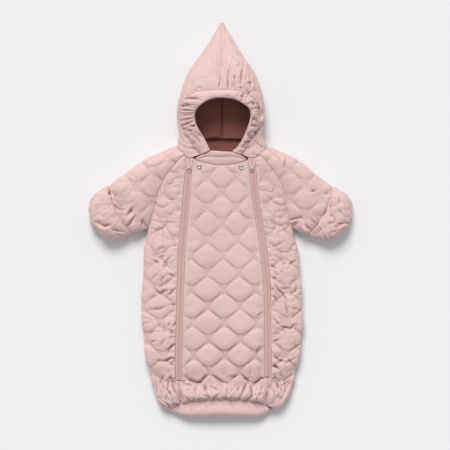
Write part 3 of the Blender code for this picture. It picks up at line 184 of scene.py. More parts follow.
# The casing round the face, from the left chin over the top to the right chin: its outer,
# sewn edge and its inner edge, round the opening.
RimRow = namedtuple("RimRow", "out_x out_y out_z in_x in_y in_z")
RIM = [
    RimRow(-48.4, 141.0, 50.0, -26.4, 151.0, 56.0), RimRow(-64.0, 161.0, 48.5, -37.6, 173.0, 60.0),
    RimRow(-79.0, 184.0, 47.0, -51.5, 195.0, 66.0), RimRow(-89.0, 209.0, 47.5, -60.0, 214.0, 71.0),
    RimRow(-92.0, 235.0, 52.0, -61.5, 233.6, 76.5), RimRow(-87.0, 255.6, 62.0, -55.5, 248.8, 83.0),
    RimRow(-73.0, 270.6, 72.0, -43.0, 258.6, 87.5), RimRow(-50.0, 279.0, 79.0, -26.0, 262.4, 90.5),
    RimRow(-25.0, 281.6, 83.0, -13.0, 264.4, 92.0), RimRow(0.0, 282.2, 84.0, 0.0, 264.6, 92.5),
    RimRow(25.0, 281.6, 83.0, 14.0, 263.6, 91.8), RimRow(49.0, 276.0, 78.0, 30.0, 260.0, 90.5),
    RimRow(68.0, 264.6, 70.0, 47.0, 250.8, 87.0), RimRow(80.0, 245.8, 59.0, 59.0, 237.0, 81.0),
    RimRow(82.5, 222.0, 50.0, 62.5, 220.0, 75.0), RimRow(78.0, 198.0, 46.0, 55.0, 196.0, 68.0),
    RimRow(67.0, 176.0, 46.0, 45.1, 174.0, 61.0), RimRow(55.0, 156.0, 48.0, 34.0, 157.0, 57.5),
    RimRow(44.0, 141.0, 50.0, 23.1, 148.5, 55.0),
]
RIM_TOP = 9                # the row at the hood's centre seam

# The hood's left half, from the tip down: centre back on the floor, silhouette, and the
# centre seam in front. Below CORNER_ROW the front edge is the casing's sewn edge.
HoodRow = namedtuple("HoodRow", "back_y side_x side_y side_z front_y front_z")
HOOD = [
    HoodRow(432.0, 3.9, 433.0, 7.0, 434.0, 13.0), HoodRow(420.0, 10.0, 421.5, 8.2, 411.0, 22.0),
    HoodRow(408.0, 17.0, 409.5, 9.3, 389.0, 33.0), HoodRow(396.0, 23.5, 398.0, 10.5, 362.6, 46.0),
    HoodRow(385.0, 29.8, 387.0, 12.0, 336.0, 60.0), HoodRow(374.0, 37.3, 376.0, 13.5, 314.0, 72.0),
    HoodRow(363.0, 44.5, 366.0, 15.0, 294.0, 80.0), HoodRow(350.0, 52.8, 354.0, 17.0, 282.2, 84.0),
    HoodRow(334.0, 64.2, 338.0, 20.0, 0.0, 0.0), HoodRow(316.0, 75.0, 320.0, 23.0, 0.0, 0.0),
    HoodRow(298.0, 83.6, 300.0, 26.5, 0.0, 0.0), HoodRow(279.0, 90.5, 277.5, 29.5, 0.0, 0.0),
    HoodRow(257.0, 96.8, 253.0, 32.0, 0.0, 0.0), HoodRow(235.0, 99.0, 230.0, 32.0, 0.0, 0.0),
    HoodRow(213.0, 97.0, 208.0, 30.0, 0.0, 0.0), HoodRow(191.0, 94.0, 184.0, 26.5, 0.0, 0.0),
    HoodRow(169.0, 98.6, 160.0, 22.0, 0.0, 0.0),
]
CORNER_ROW = 7
HOOD_SIDE_SCALE = {LEFT: 1.0, RIGHT: 0.955}
HOOD_SIDE_V = 0.45         # the silhouette's place across a hood half

# The collar under the chin: its sewn edge on the neckline and its free edge.
CollarRow = namedtuple("CollarRow", "low_x top_x top_y top_z")
COLLAR = [
    CollarRow(-58.5, -57.5, 133.4, 50.0), CollarRow(-47.0, -47.0, 139.2, 51.0),
    CollarRow(-26.0, -26.0, 148.4, 53.5), CollarRow(0.0, 0.0, 147.2, 56.0),
    CollarRow(24.0, 24.0, 145.8, 55.0), CollarRow(41.0, 41.0, 139.2, 51.5),
    CollarRow(53.5, 52.0, 131.6, 49.5),
]

# The foot strip's outermost line, in plan.
FOOT_LINE = [
    SeamPoint(-118.4, -423.2), SeamPoint(-100.0, -426.0), SeamPoint(-81.0, -429.0),
    SeamPoint(-61.6, -432.1), SeamPoint(0.0, -434.3), SeamPoint(41.0, -433.2),
    SeamPoint(72.0, -430.5), SeamPoint(94.6, -426.5), SeamPoint(109.5, -421.0),
]
SLIDER_PLATE = 1.4
STUD_PLACE = {LEFT: (-50.2, 115.0), RIGHT: (41.8, 113.6)}

# %% [markdown]
# ## The garment's surfaces

# %%
def smooth(keys, values, at):
    """Cubic curve through a table's values; each slope is taken from both neighbours."""
    keys = np.asarray(keys, float)
    values = np.asarray(values, float)
    at = np.asarray(at, float)
    slopes = np.gradient(values, keys, axis=0)
    i = np.clip(np.searchsorted(keys, at, side="right") - 1, 0, len(keys) - 2)
    span = keys[i + 1] - keys[i]
    t = (at - keys[i]) / span
    if values.ndim > 1:
        t = t[..., None]
        span = span[..., None]
    from_start = (1 + 2 * t) * (1 - t) ** 2 * values[i] + t * (1 - t) ** 2 * span * slopes[i]
    to_end = t * t * (3 - 2 * t) * values[i + 1] + t * t * (t - 1) * span * slopes[i + 1]
    return from_start + to_end


def ease(x):
    """0 below 0, 1 above 1, smooth between."""
    x = np.clip(x, 0.0, 1.0)
    return x * x * (3 - 2 * x)


def length_of(vectors):
    return np.linalg.norm(vectors, axis=-1, keepdims=True)


def spread(count):
    return np.linspace(0.0, 1.0, count)


def body_row(station):
    rows = np.array(BODY)
    return smooth(rows[:, 0], rows[:, 1:], station)


def half_width(side_sign, row):
    return np.where(side_sign < 0, -row[..., 1], row[..., 3])


def front_surface(across, station):
    """The front's base surface: across is -1 at the left side seam, 0 at the crown, 1 at the right."""
    row = body_row(station)
    half = half_width(across, row)
    end_y = np.where(across < 0, row[..., 2], row[..., 4])
    angle = (1 - np.abs(across)) * math.pi / 2
    reach = np.cos(angle) ** (2 / SQUARENESS)
    x = np.sign(across) * half * reach
    y = station + (end_y - station) * reach ** 3
    z = row[..., 6] + (row[..., 5] - row[..., 6]) * np.sin(angle)
    return np.stack([x, y, z], axis=-1)


def front_across(x, station):
    """The front's across value at a place x."""
    half = half_width(x, body_row(station))
    reach = np.clip(np.abs(x) / half, 0.0, 1.0)
    angle = np.arccos(np.clip(reach ** (SQUARENESS / 2), 0.0, 1.0))
    return np.sign(x) * (1 - 2 * angle / math.pi)


def on_front(x, station):
    return front_surface(front_across(x, station), station)


def back_surface(across, station):
    """The back's base surface: flat on the floor, rolling up to the side seams."""
    flat_share = 0.8
    row = body_row(station)
    half = half_width(across, row)
    end_y = np.where(across < 0, row[..., 2], row[..., 4])
    size = np.abs(across)
    roll = np.clip((size - flat_share) / (1 - flat_share), 0.0, 1.0) * math.pi / 2
    flat_x = (half - SIDE_ROLL) * np.minimum(size / flat_share, 1.0)
    x = flat_x + SIDE_ROLL * np.sin(roll)
    y = row[..., 0] + (end_y - row[..., 0]) * (x / half) ** 3
    z = row[..., 6] * (1 - np.cos(roll))
    return np.stack([np.sign(across) * x, y, z], axis=-1)


def back_across(x, station):
    flat_share = 0.8
    half = half_width(x, body_row(station))
    flat_x = half - SIDE_ROLL
    rolled = np.clip((np.abs(x) - flat_x) / SIDE_ROLL, 0.0, 1.0)
    on_roll = flat_share + (1 - flat_share) * np.arcsin(rolled) * 2 / math.pi
    on_flat = flat_share * np.abs(x) / flat_x
    return np.sign(x) * np.where(rolled > 0, on_roll, on_flat)


def seam_x(points, y):
    table = np.array(points)
    return smooth(table[:, 1], table[:, 0], y)


def zip_x(side, station):
    """The zip's centre line, and the seam that runs on below it to the foot."""
    keys = [-400.0, -355.0, -250.0, -150.0, -50.0, 40.0, 134.0]
    places = {LEFT: [-90.0, -94.4, -94.2, -91.4, -86.9, -79.0, -71.5],
              RIGHT: [97.0, 100.2, 100.2, 98.8, 88.6, 74.4, 64.2]}
    return smooth(keys, places[side], station)


def zip_foot(side):
    return ZIP_FOOT[0] if side == LEFT else ZIP_FOOT[1]


def neckline(x):
    return NECKLINE_Y + NECKLINE_DROP * (x / 62.0) ** 2


def cell_phase(y):
    """How many cells up the centre line a place is. A whole number is a cell's middle."""
    inside = np.clip(y, CELL_MIDDLES[0], CELL_MIDDLES[-1])
    counted = smooth(CELL_MIDDLES, np.arange(len(CELL_MIDDLES)), inside)
    return counted + (y - inside) / CELL_HEIGHT


def lattice_lean(y):
    """How far right of the centre line the quilting's middle column lies."""
    return CELL_LEAN * ease((CELL_MIDDLES[-2] - y) / (CELL_MIDDLES[-2] - CELL_MIDDLES[1]))


def above_floor(points):
    """0 where the cloth rests on the floor, 1 on the free sides and the top."""
    return ease((points[..., 2] - 3.0) / 12.0)


def arc_across(across, station):
    """Distance over the front's curve from the crown, in mm."""
    steps = np.linspace(0.0, 1.0, 60)
    curve = front_surface(steps, np.full(60, -150.0))
    runs = np.linalg.norm(np.diff(curve, axis=0), axis=1)
    total = np.concatenate([[0.0], np.cumsum(runs)])
    return np.sign(across) * np.interp(np.abs(across), steps, total)


# %%
def limb_section(row, v, bow):
    """A padded tube's section between its two silhouette points: domed above, flat on the floor.
    v runs from the upper point over the front to the lower point and back along the floor. The
    bow bends the section towards the hand."""
    turn = 2 * math.pi * v
    cosine = np.cos(turn)
    way = 0.5 - 0.5 * np.sign(cosine) * np.abs(cosine) ** 0.85
    sine = np.abs(np.sin(turn))
    domed = row[..., 4] + (row[..., 5] - row[..., 4]) * sine ** 0.9
    sunk = row[..., 4] * np.maximum(1 - sine / 0.75, 0.0) ** 2
    z = np.where(v <= 0.5, domed, sunk)
    bend = bow * 4 * way * (1 - way)
    x = row[..., 0] + (row[..., 2] - row[..., 0]) * way + np.sign(row[..., 0]) * bend * 0.9
    y = row[..., 1] + (row[..., 3] - row[..., 1]) * way - bend * 0.4
    return np.stack([x, y, z], axis=-1)


def limb_row(table, along):
    rows = np.array(table)
    return smooth(np.arange(len(rows)), rows, along * (len(rows) - 1))


def neck_seam(side, knot):
    points = np.array(NECK)
    points[-1] = RIM[0][:3] if side == LEFT else RIM[-1][:3]
    points[-1, 0] = abs(points[-1, 0])
    points[-2, 0] = abs(zip_x(side, 134.0))
    curve = smooth(np.arange(len(points)), points, knot)
    curve[..., 0] *= side
    curve[..., 2] = np.maximum(curve[..., 2], 0.0)
    return curve


def armhole(side, v):
    """The sleeve's seam with the bag and the neck: over the shoulder, down the front raglan to
    the underarm, and back up the back raglan."""
    front = np.array(RAGLAN_FRONT[side])[::-1]
    back = np.array(RAGLAN_BACK[side])
    neck_share, back_share = 0.1, 0.95
    knot = np.interp(v, [0.0, neck_share], [SHOULDER_KNOT, FRONT_RAGLAN_KNOT])
    over_shoulder = neck_seam(side, knot)
    y = np.interp(v, [neck_share, 0.5], [front[0, 1], front[-1, 1]])
    down_front = on_front(seam_x(front[::-1], y), y)
    y = np.interp(v, [0.5, back_share], [back[0, 1], back[-1, 1]])
    x = seam_x(back, y)
    up_back = back_surface(back_across(x, y), y)
    knot = np.interp(v, [back_share, 1.0], [BACK_RAGLAN_KNOT, SHOULDER_KNOT])
    to_shoulder = neck_seam(side, knot)
    pick = v[..., None]
    ring = np.where(pick < neck_share, over_shoulder, down_front)
    ring = np.where(pick > 0.5, up_back, ring)
    return np.where(pick > back_share, to_shoulder, ring)


def sleeve_surface(side, along, v):
    """Sections from the armhole to the mitten; the armhole's own shape fades out along the sleeve."""
    section = limb_section(limb_row(SLEEVE[side], along), v, CUFF_BOW * along ** 2)
    start = limb_section(limb_row(SLEEVE[side], along * 0), v, 0.0)
    offset = armhole(side, v) - start
    return section + offset * (1 - ease(along / 0.75))[..., None]


# %%
def rim_edge(knot):
    """The casing's sewn edge as a smooth curve through the table."""
    return smooth(np.arange(len(RIM)), np.array(RIM)[:, :3], knot)


def hood_lines(side, at):
    """Centre back, silhouette and front edge points at hood rows."""
    table = np.array(HOOD)
    stations = np.arange(len(table))
    zero = np.zeros(len(table))
    back = smooth(stations, np.stack([zero, table[:, 0], zero], axis=-1), at)
    flank_table = table[:, 1:4] * [side * HOOD_SIDE_SCALE[side], 1.0, 1.0]
    flank_table[-1, 0] = side * NECK[SHOULDER_KNOT].x
    flank = smooth(stations, flank_table, at)
    crest = np.stack([zero, table[:, 4], table[:, 5]], axis=-1)[:CORNER_ROW + 1]
    over = smooth(stations[:CORNER_ROW + 1], crest, np.minimum(at, CORNER_ROW))
    rim = rim_edge(RIM_TOP + side * np.maximum(at - CORNER_ROW, 0.0))
    front = np.where((at > CORNER_ROW)[..., None], rim, over)
    return back, flank, front


def hood_surface(side, down, v):
    """From the centre back along the floor, up round the silhouette and over to the front edge.
    The upper part is an elliptical arc, a shorter one where it has little width to turn in."""
    back, flank, front = hood_lines(side, down * (len(HOOD) - 1))
    low = np.clip(v / HOOD_SIDE_V, 0.0, 1.0)
    flat_share = 0.55
    roll = np.clip((low - flat_share) / (1 - flat_share), 0.0, 1.0) * math.pi / 2
    reach = np.abs(flank[..., 0])
    corner = np.minimum(flank[..., 2] * 1.25, reach * 0.6)
    x = (reach - corner) * np.minimum(low / flat_share, 1.0) + corner * np.sin(roll)
    share = (x / np.maximum(reach, 1e-6)) ** 2
    y = back[..., 1] + (flank[..., 1] - back[..., 1]) * share
    floor_part = np.stack([side * x, y, flank[..., 2] * (1 - np.cos(roll))], axis=-1)
    across = np.hypot(flank[..., 0] - front[..., 0], flank[..., 1] - front[..., 1])
    steep = np.clip(0.45 + 0.45 * across / (front[..., 2] - flank[..., 2]), 0.55, 1.0)
    end = steep * math.pi / 2
    rise = np.clip((v - HOOD_SIDE_V) / (1 - HOOD_SIDE_V), 0.0, 1.0) * end
    left_over = np.clip((np.cos(rise) - np.cos(end)) / (1 - np.cos(end)), 0.0, 1.0)
    inward = left_over ** (1.15 - 0.3 * steep)
    x = front[..., 0] + (flank[..., 0] - front[..., 0]) * inward
    y = flank[..., 1] + (front[..., 1] - flank[..., 1]) * (1 - left_over)
    z = flank[..., 2] + (front[..., 2] - flank[..., 2]) * np.sin(rise) / np.sin(end)
    raised_part = np.stack([x, y, z], axis=-1)
    return np.where((v <= HOOD_SIDE_V)[..., None], floor_part, raised_part)


def hood_to_neck(side, down, v):
    """The hood's surface, drawn onto the neck seam over its last rows."""
    knot = np.interp(v, [0.0, HOOD_SIDE_V, 1.0], [0, SHOULDER_KNOT, LAST_KNOT])
    offset = neck_seam(side, knot) - hood_surface(side, np.ones(down.shape), v)
    return hood_surface(side, down, v) + offset * ease((down - 0.84) / 0.16)[..., None]


def front_frame(x, station):
    """Point, direction along the bag, direction across and normal of the front at a place."""
    point = on_front(np.array(x), np.array(station))
    ahead = on_front(np.array(x), np.array(station + 1.0)) - point
    aside = on_front(np.array(x + 1.0), np.array(station)) - point
    normal = np.cross(aside, ahead)
    return point, normal / np.linalg.norm(normal)


def zip_place(side):
    """Matrix of the slider's top plate: local Y up the zip, local Z away from the bag."""
    x = float(zip_x(side, SLIDER_Y))
    point, normal = front_frame(x, SLIDER_Y)
    ahead = on_front(zip_x(side, np.array(SLIDER_Y + 4.0)), np.array(SLIDER_Y + 4.0)) - point
    z_axis = Vector(normal)
    y_axis = (Vector(ahead) - z_axis * Vector(ahead).dot(z_axis)).normalized()
    x_axis = y_axis.cross(z_axis)
    rise = COIL_RISE - TAPE_DEPTH + SEAM_GAP
    origin = Vector(point) + z_axis * rise + Vector((CENTRE_LINE_X, 0.0, 0.0))
    matrix = Matrix((x_axis, y_axis, z_axis)).transposed().to_4x4()
    matrix.translation = origin * MM
    return matrix


def pull_pivot(side):
    """Matrix of the ring pull's pivot: local X is the axis it swings about."""
    lift = Matrix.Translation((0.0, 0.0, (SLIDER_PLATE - 0.25 + PIVOT_RISE) * MM))
    skew = Matrix.Rotation(math.radians(-side * PULL_SKEW), 4, "Z")
    return zip_place(side) @ lift @ skew

# %% [markdown]
# ## Fine grids
# A grid line lies every 1.7 mm, and closer beside a seam, so that a seam's dip is round.
# `edge_runs` gives each grid point's distance from the four edges over the cloth.

# %%
STEP = 1.7                 # mm between grid lines
EDGE_LINES = np.array([0.0, 0.7, 1.6, 2.8])
COARSE = 4                 # the wall's inside has every fourth grid line
CLOTH = 1.9                # thickness of the shown shell
SHOWN_GAP = 0.2            # between shown pieces at a seam


def lines(length, step=STEP, remainder=0):
    """Grid lines from 0 to 1 over a length in mm: close ones at both ends, even ones between.
    Their number of spans leaves this remainder when it is divided by COARSE."""
    spans = COARSE * math.ceil((length - 2 * EDGE_LINES[-1]) / step / COARSE)
    spans += (remainder - 2 * (len(EDGE_LINES) - 1)) % COARSE
    middle = np.linspace(EDGE_LINES[-1], length - EDGE_LINES[-1], spans + 1)
    return np.concatenate([EDGE_LINES[:-1], middle, length - EDGE_LINES[-2::-1]]) / length


def edge_runs(points):
    """Distance in mm over the cloth from the first row, last row, first column, last column."""
    runs = []
    for axis in (0, 1):
        steps = length_of(np.diff(points, axis=axis))[..., 0]
        start = np.zeros_like(np.take(steps, [0], axis=axis))
        run = np.concatenate([start, np.cumsum(steps, axis=axis)], axis=axis)
        runs += [run, np.take(run, [-1], axis=axis) - run]
    return runs


def bumps(x, y, size, seed):
    """A smooth random field from -1 to 1: seeded values on a square grid `size` mm wide, eased
    between neighbours."""
    table = np.random.default_rng(seed).uniform(-1, 1, (61, 61))
    column = np.floor(x / size).astype(int)
    row = np.floor(y / size).astype(int)
    share_x = ease(x / size - column)
    share_y = ease(y / size - row)
    near = table[column % 61, row % 61] * (1 - share_x) + table[(column + 1) % 61, row % 61] * share_x
    far = (table[column % 61, (row + 1) % 61] * (1 - share_x)
           + table[(column + 1) % 61, (row + 1) % 61] * share_x)
    return near * (1 - share_y) + far * share_y


def crumple(points, size, seed):
    """The same field over a curved piece: height is mixed into both directions, so that the
    field runs on round a tube."""
    x, y, z = points[..., 0], points[..., 1], points[..., 2]
    return bumps(x + 0.8 * z, y - 0.6 * z, size, seed)


def pleat(phase):
    """A gather's profile, 0 to 1 over each whole number: round ridges and sharp valleys."""
    return np.abs(np.sin(math.pi * phase)) ** 0.75


def creases(x, y, size, seed):
    """Sharp random creases, 0 to -1: a valley wherever one smooth field passes through 0, in
    the places where a second field is above 0."""
    valley = np.exp(-np.abs(bumps(x, y, size, seed) / 0.14) ** 1.3)
    return -valley * ease(bumps(x, y, size * 1.7, seed + 7) * 2.5 + 0.3)


# A listed fold: the trough's half width and depth, the raised lip beside it (above 0
# on the right of its path, below 0 on the left), and its path in plan, all in mm.
Fold = namedtuple("Fold", "width depth lip path")


def fold_relief(points, folds):
    """Troughs with a raised lip along one side. The trough is a valley with a sharp bottom that
    levels out over twice its width, and both taper towards the path's ends."""
    x, y = points[..., 0], points[..., 1]
    total = np.zeros(x.shape)
    for fold in folds:
        path = np.array(fold.path)
        steps = np.diff(path, axis=0)
        lengths = np.hypot(steps[:, 0], steps[:, 1])
        starts = np.concatenate([[0.0], np.cumsum(lengths)])
        near = np.full(x.shape, 1e9)
        beside = np.zeros(x.shape)
        along = np.zeros(x.shape)
        for (ax, ay), (dx, dy), length, start in zip(path, steps, lengths, starts):
            share = np.clip(((x - ax) * dx + (y - ay) * dy) / length ** 2, 0.0, 1.0)
            off_x = x - ax - share * dx
            off_y = y - ay - share * dy
            distance = np.hypot(off_x, off_y)
            closer = distance < near
            near = np.where(closer, distance, near)
            right = np.sign(off_x * dy - off_y * dx) * distance
            beside = np.where(closer, right, beside)
            along = np.where(closer, (start + share * length) / starts[-1], along)
        taper = 0.3 + 0.7 * np.sin(math.pi * along)
        total -= fold.depth * taper * np.exp(-(near / (0.95 * fold.width)) ** 1.2)
        lip_at = (beside * np.sign(fold.lip) - 2.0 * fold.width) / (1.7 * fold.width)
        total += abs(fold.lip) * taper * np.exp(-lip_at ** 2) * (near < 6 * fold.width)
    return total


def seam_dip(distance, depth=0.35):
    """Cloth rolls into a seam: `depth` at the seam, level again from about 4 mm on."""
    return -depth * np.exp(-(distance / 1.7) ** 2)


def puff_near(distance):
    """Padding rises beside a seam: a third at the seam and all of it from about 8 mm on."""
    return 1 - 0.67 * np.exp(-(distance / 4.2) ** 2)


# %% [markdown]
# ## Closed walls
# The outside is the fine grid. The inside is a plain grid of every fourth line, and a band
# of triangles joins the two round the edges, so each piece is one closed skin.

# %%
def zipper(fine, coarse):
    """Triangles between a loop of fine points and a loop with one point for COARSE of them."""
    count = len(fine)
    half = COARSE // 2
    i = np.arange(count)
    tall = np.stack([fine[i], fine[(i + 1) % count], coarse[((i + half) // COARSE) % len(coarse)]], axis=1)
    j = np.arange(len(coarse))
    wide = np.stack([coarse[(j + 1) % len(coarse)], coarse[j], fine[(j * COARSE + half) % count]], axis=1)
    return np.concatenate([tall, wide])


def rim_loop(ids):
    """A grid's border as a closed loop: along the first row, down, back and up."""
    return np.concatenate([ids[0, :-1], ids[:-1, -1], ids[-1, :0:-1], ids[:0:-1, 0]])


def quads(ids, tube):
    """Two triangles for each square of a grid of point numbers."""
    if tube:
        ids = np.concatenate([ids, ids[:, :1]], axis=1)
    a, b, c, d = ids[:-1, :-1], ids[1:, :-1], ids[1:, 1:], ids[:-1, 1:]
    first = np.stack([a, b, c], axis=-1).reshape(-1, 3)
    return np.concatenate([first, np.stack([a, c, d], axis=-1).reshape(-1, 3)])


def grid_normals(points, tube):
    down = np.gradient(points, axis=0)
    if tube:
        over = (np.roll(points, -1, axis=1) - np.roll(points, 1, axis=1)) / 2
    else:
        over = np.gradient(points, axis=1)
    normals = np.cross(down, over)
    return normals / np.maximum(length_of(normals), 1e-9)


def outward(points, inside, tube=False):
    """Grid normals that point away from a place inside the garment."""
    normals = grid_normals(points, tube)
    facing = np.sum(normals * (points - np.array(inside)))
    return normals if facing > 0 else -normals


def add_mesh(name, vertices, triangles, fields, paint):
    """A closed mesh in the row frame, in metres, with its faces turned outwards. Fields are
    numbers for each point that the material reads."""
    corners = vertices[triangles]
    volume = np.sum(corners[:, 0] * np.cross(corners[:, 1], corners[:, 2]))
    if volume < 0:
        triangles = triangles[:, ::-1]
    mesh = bpy.data.meshes.new(name)
    placed = (vertices + [CENTRE_LINE_X, 0.0, 0.0]) * MM
    mesh.vertices.add(len(placed))
    mesh.vertices.foreach_set("co", placed.ravel())
    mesh.loops.add(triangles.size)
    mesh.loops.foreach_set("vertex_index", triangles.ravel().astype(np.int32))
    mesh.polygons.add(len(triangles))
    mesh.polygons.foreach_set("loop_start", np.arange(0, triangles.size, 3, dtype=np.int32))
    mesh.update(calc_edges=True)
    for field, values in fields.items():
        kind = "FLOAT_VECTOR" if values.ndim > 1 else "FLOAT"
        layer = mesh.attributes.new(field, kind, "POINT")
        layer.data.foreach_set("vector" if values.ndim > 1 else "value", values.ravel())
    mesh.shade_smooth()
    mesh.set_sharp_from_angle(angle=math.radians(75))
    mesh.materials.append(paint)
    piece = bpy.data.objects.new(name, mesh)
    bpy.context.scene.collection.objects.link(piece)
    print(f"{name}: {len(triangles)} triangles")
    return piece


# The material paints shade into the colour with this field, so creases, folds and gathers darken.
def valleys(relief):
    """How deep each point lies below the mean of its surroundings, 0 to 1. The mean is made by
    averaging neighbours 16 times, which reaches about 5 mm."""
    mean = relief
    for _ in range(16):
        wide = np.pad(mean, 1, mode="edge")
        mean = (2 * mean + wide[2:, 1:-1] + wide[:-2, 1:-1] + wide[1:-1, 2:] + wide[1:-1, :-2]) / 6
    return np.clip((mean - relief - 0.12) / 2.6, 0.0, 1.0)


def shell(name, points, relief, inside, place, stitch, paint, tube=False, pole=None, wall=CLOTH):
    """One cut piece as a closed wall. `place` is the cloth's own flat place in mm, for the
    weave; `stitch` is the distance in mm to the nearest sewn line, for the thread."""
    rows, columns = points.shape[:2]
    normals = outward(points, inside, tube)
    outer = points + relief[..., None] * normals
    sunk = np.minimum(relief, 0.0)
    for axis in (0, 1):
        for _ in range(COARSE):
            sunk = np.minimum(sunk, np.minimum(np.roll(sunk, 1, axis), np.roll(sunk, -1, axis)))
    inner = (points + (sunk - wall)[..., None] * normals)[::COARSE, ::COARSE].copy()
    for grid, back in ((outer, SHOWN_GAP / 2), (inner, SEAM_GAP)):
        step = grid[1] - grid[0]
        grid[0] += back * step / length_of(step)
        if pole is None:
            step = grid[-2] - grid[-1]
            grid[-1] += back * step / length_of(step)
        if not tube:
            for edge, beside in ((0, 1), (-1, -2)):
                step = grid[:, beside] - grid[:, edge]
                grid[:, edge] += back * step / length_of(step)
    outer[..., 2] = np.maximum(outer[..., 2], 0.0)
    inner[..., 2] = np.maximum(inner[..., 2], 0.5)
    ids = np.arange(rows * columns).reshape(rows, columns)
    inner_ids = rows * columns + np.arange(inner.shape[0] * inner.shape[1]).reshape(inner.shape[:2])
    faces = [quads(ids, tube), quads(inner_ids, tube)[:, ::-1]]
    vertices = [outer.reshape(-1, 3), inner.reshape(-1, 3)]
    within = np.zeros(stitch.shape)
    fields = [np.concatenate([a.reshape(-1), a[::COARSE, ::COARSE].reshape(-1) + b])
              for a, b in ((place[..., 0], 0), (place[..., 1], 0), (stitch, 0), (within, 1),
                           (valleys(relief), 0))]
    if not tube:
        faces.append(zipper(rim_loop(ids), rim_loop(inner_ids)))
    else:
        faces.append(zipper(ids[0], inner_ids[0]))
        if pole is None:
            faces.append(zipper(np.roll(ids[-1][::-1], 1), np.roll(inner_ids[-1][::-1], 1)))
        else:
            tip = rows * columns + inner_ids.size
            vertices.append(np.array([pole, np.array(pole) * [0.995, 1.0, 1.0]]))
            faces.append(np.stack([np.roll(ids[-1], -1), ids[-1], np.full(columns, tip)], axis=1))
            last = inner_ids[-1]
            faces.append(np.stack([last, np.roll(last, -1), np.full(len(last), tip + 1)], axis=1))
            fields = [np.concatenate([f, [f[rows * columns - 1], f[-1]]]) for f in fields]
    cloth = np.stack([fields[0] * MM, fields[1] * MM, fields[0] * 0], axis=1)
    return add_mesh(name, np.concatenate(vertices), np.concatenate(faces),
                    {"cloth": cloth, "stitch": fields[2], "lined": fields[3], "valley": fields[4]},
                    paint)

# %% [markdown]
# ## Quilting
# The sewn lines are the zero lines of one smooth function, so a point's distance to them is
# that function over its own slope.

# %%
def ogee_line(x, y):
    """Above 0 in every second cell and below 0 in the others. Over the chest the cells are
    drawn flat: round above and below, and pointed at both sides."""
    t = cell_phase(y) + 0.5
    u = x / CELL_WIDTH
    narrow = 0.5 - 0.5 * np.cos(2 * math.pi * t)
    wedge = np.abs(2 * (t - np.floor(t)) - 1)
    edge = 0.7 * narrow + 0.3 * (1 - wedge)
    upright = np.cos(2 * math.pi * u) - np.cos(math.pi * edge)
    flat = np.cos(math.pi * (0.5 - 0.5 * np.cos(2 * math.pi * u))) - np.cos(2 * math.pi * t)
    share = 0.22 + 0.45 * ease((y + 120.0) / 170.0)
    return upright + (flat - upright) * share


def stitch_distance(x, y):
    slope_x = ogee_line(x + 0.5, y) - ogee_line(x - 0.5, y)
    slope_y = ogee_line(x, y + 0.5) - ogee_line(x, y - 0.5)
    return ogee_line(x, y) / np.maximum(np.hypot(slope_x, slope_y), 0.03)


PUFF_SHOWN = 4.6


def quilting(x, y, seed):
    """Puffs between the sewn lines, uneven from cell to cell and lower over the chest, with
    short puckers that start at the lines and fade over 6 mm. Cloth lies flat within `rim` of a
    line, which rounds a cell's corners: most over the chest, and above and below each cell."""
    away = np.abs(stitch_distance(x, y))
    line = ogee_line(x, y)
    above = 0.5 + 0.5 * np.cos(2 * math.pi * (cell_phase(y) + 0.5)) * np.sign(line)
    rim = (0.19 + 0.16 * ease((y + 100.0) / 150.0)) * (0.35 + 1.3 * above)
    puff = PUFF_SHOWN * np.clip((np.abs(line) - rim) / (1.6 - rim), 0.0, 1.0) ** 0.42
    puff = puff * (0.9 + 0.35 * bumps(x, y, 41.0, seed)) * (0.62 + 0.75 * ease((40.0 - y) / 330.0))
    pucker = pleat((0.9 * x + y) / 8.5 + 0.8 * bumps(x, y, 19.0, seed + 1)) - 0.6
    strength = 0.55 + 0.45 * bumps(x, y, 27.0, seed + 2)
    return puff + 0.9 * strength * pucker * np.exp(-(away / 6.5) ** 2) * (1 - np.exp(-(away / 1.5) ** 2))


# %% [markdown]
# ## Materials
# `woven` gives the height of a plain weave from the cloth's own flat place in metres, and
# `thread` the mask of a sewn line from the distance to it, broken into stitches.

# %%
def node_group(name, inputs, outputs):
    group = bpy.data.node_groups.new(name, "ShaderNodeTree")
    for label, kind in inputs:
        group.interface.new_socket(name=label, in_out="INPUT", socket_type=kind)
    for label, kind in outputs:
        group.interface.new_socket(name=label, in_out="OUTPUT", socket_type=kind)
    return group, group.nodes.new("NodeGroupInput"), group.nodes.new("NodeGroupOutput")


def math_node(tree, operation, first, second=None, third=None):
    """A math node; numbers are set on it and sockets are linked to it."""
    node = tree.nodes.new("ShaderNodeMath")
    node.operation = operation
    for socket, value in zip(node.inputs, (first, second, third)):
        if value is None:
            continue
        if isinstance(value, (int, float)):
            socket.default_value = value
        else:
            tree.links.new(value, socket)
    return node.outputs[0]


def woven_group():
    group, entry, exit_node = node_group("woven", [("Place", "NodeSocketVector")],
                                         [("Height", "NodeSocketFloat")])
    split = group.nodes.new("ShaderNodeSeparateXYZ")
    group.links.new(entry.outputs["Place"], split.inputs[0])
    turns = 2 * math.pi / 0.00055
    warp = math_node(group, "SINE", math_node(group, "MULTIPLY", split.outputs[0], turns))
    weft = math_node(group, "SINE", math_node(group, "MULTIPLY", split.outputs[1], turns))
    height = math_node(group, "MULTIPLY", warp, weft)
    group.links.new(height, exit_node.inputs["Height"])
    return group


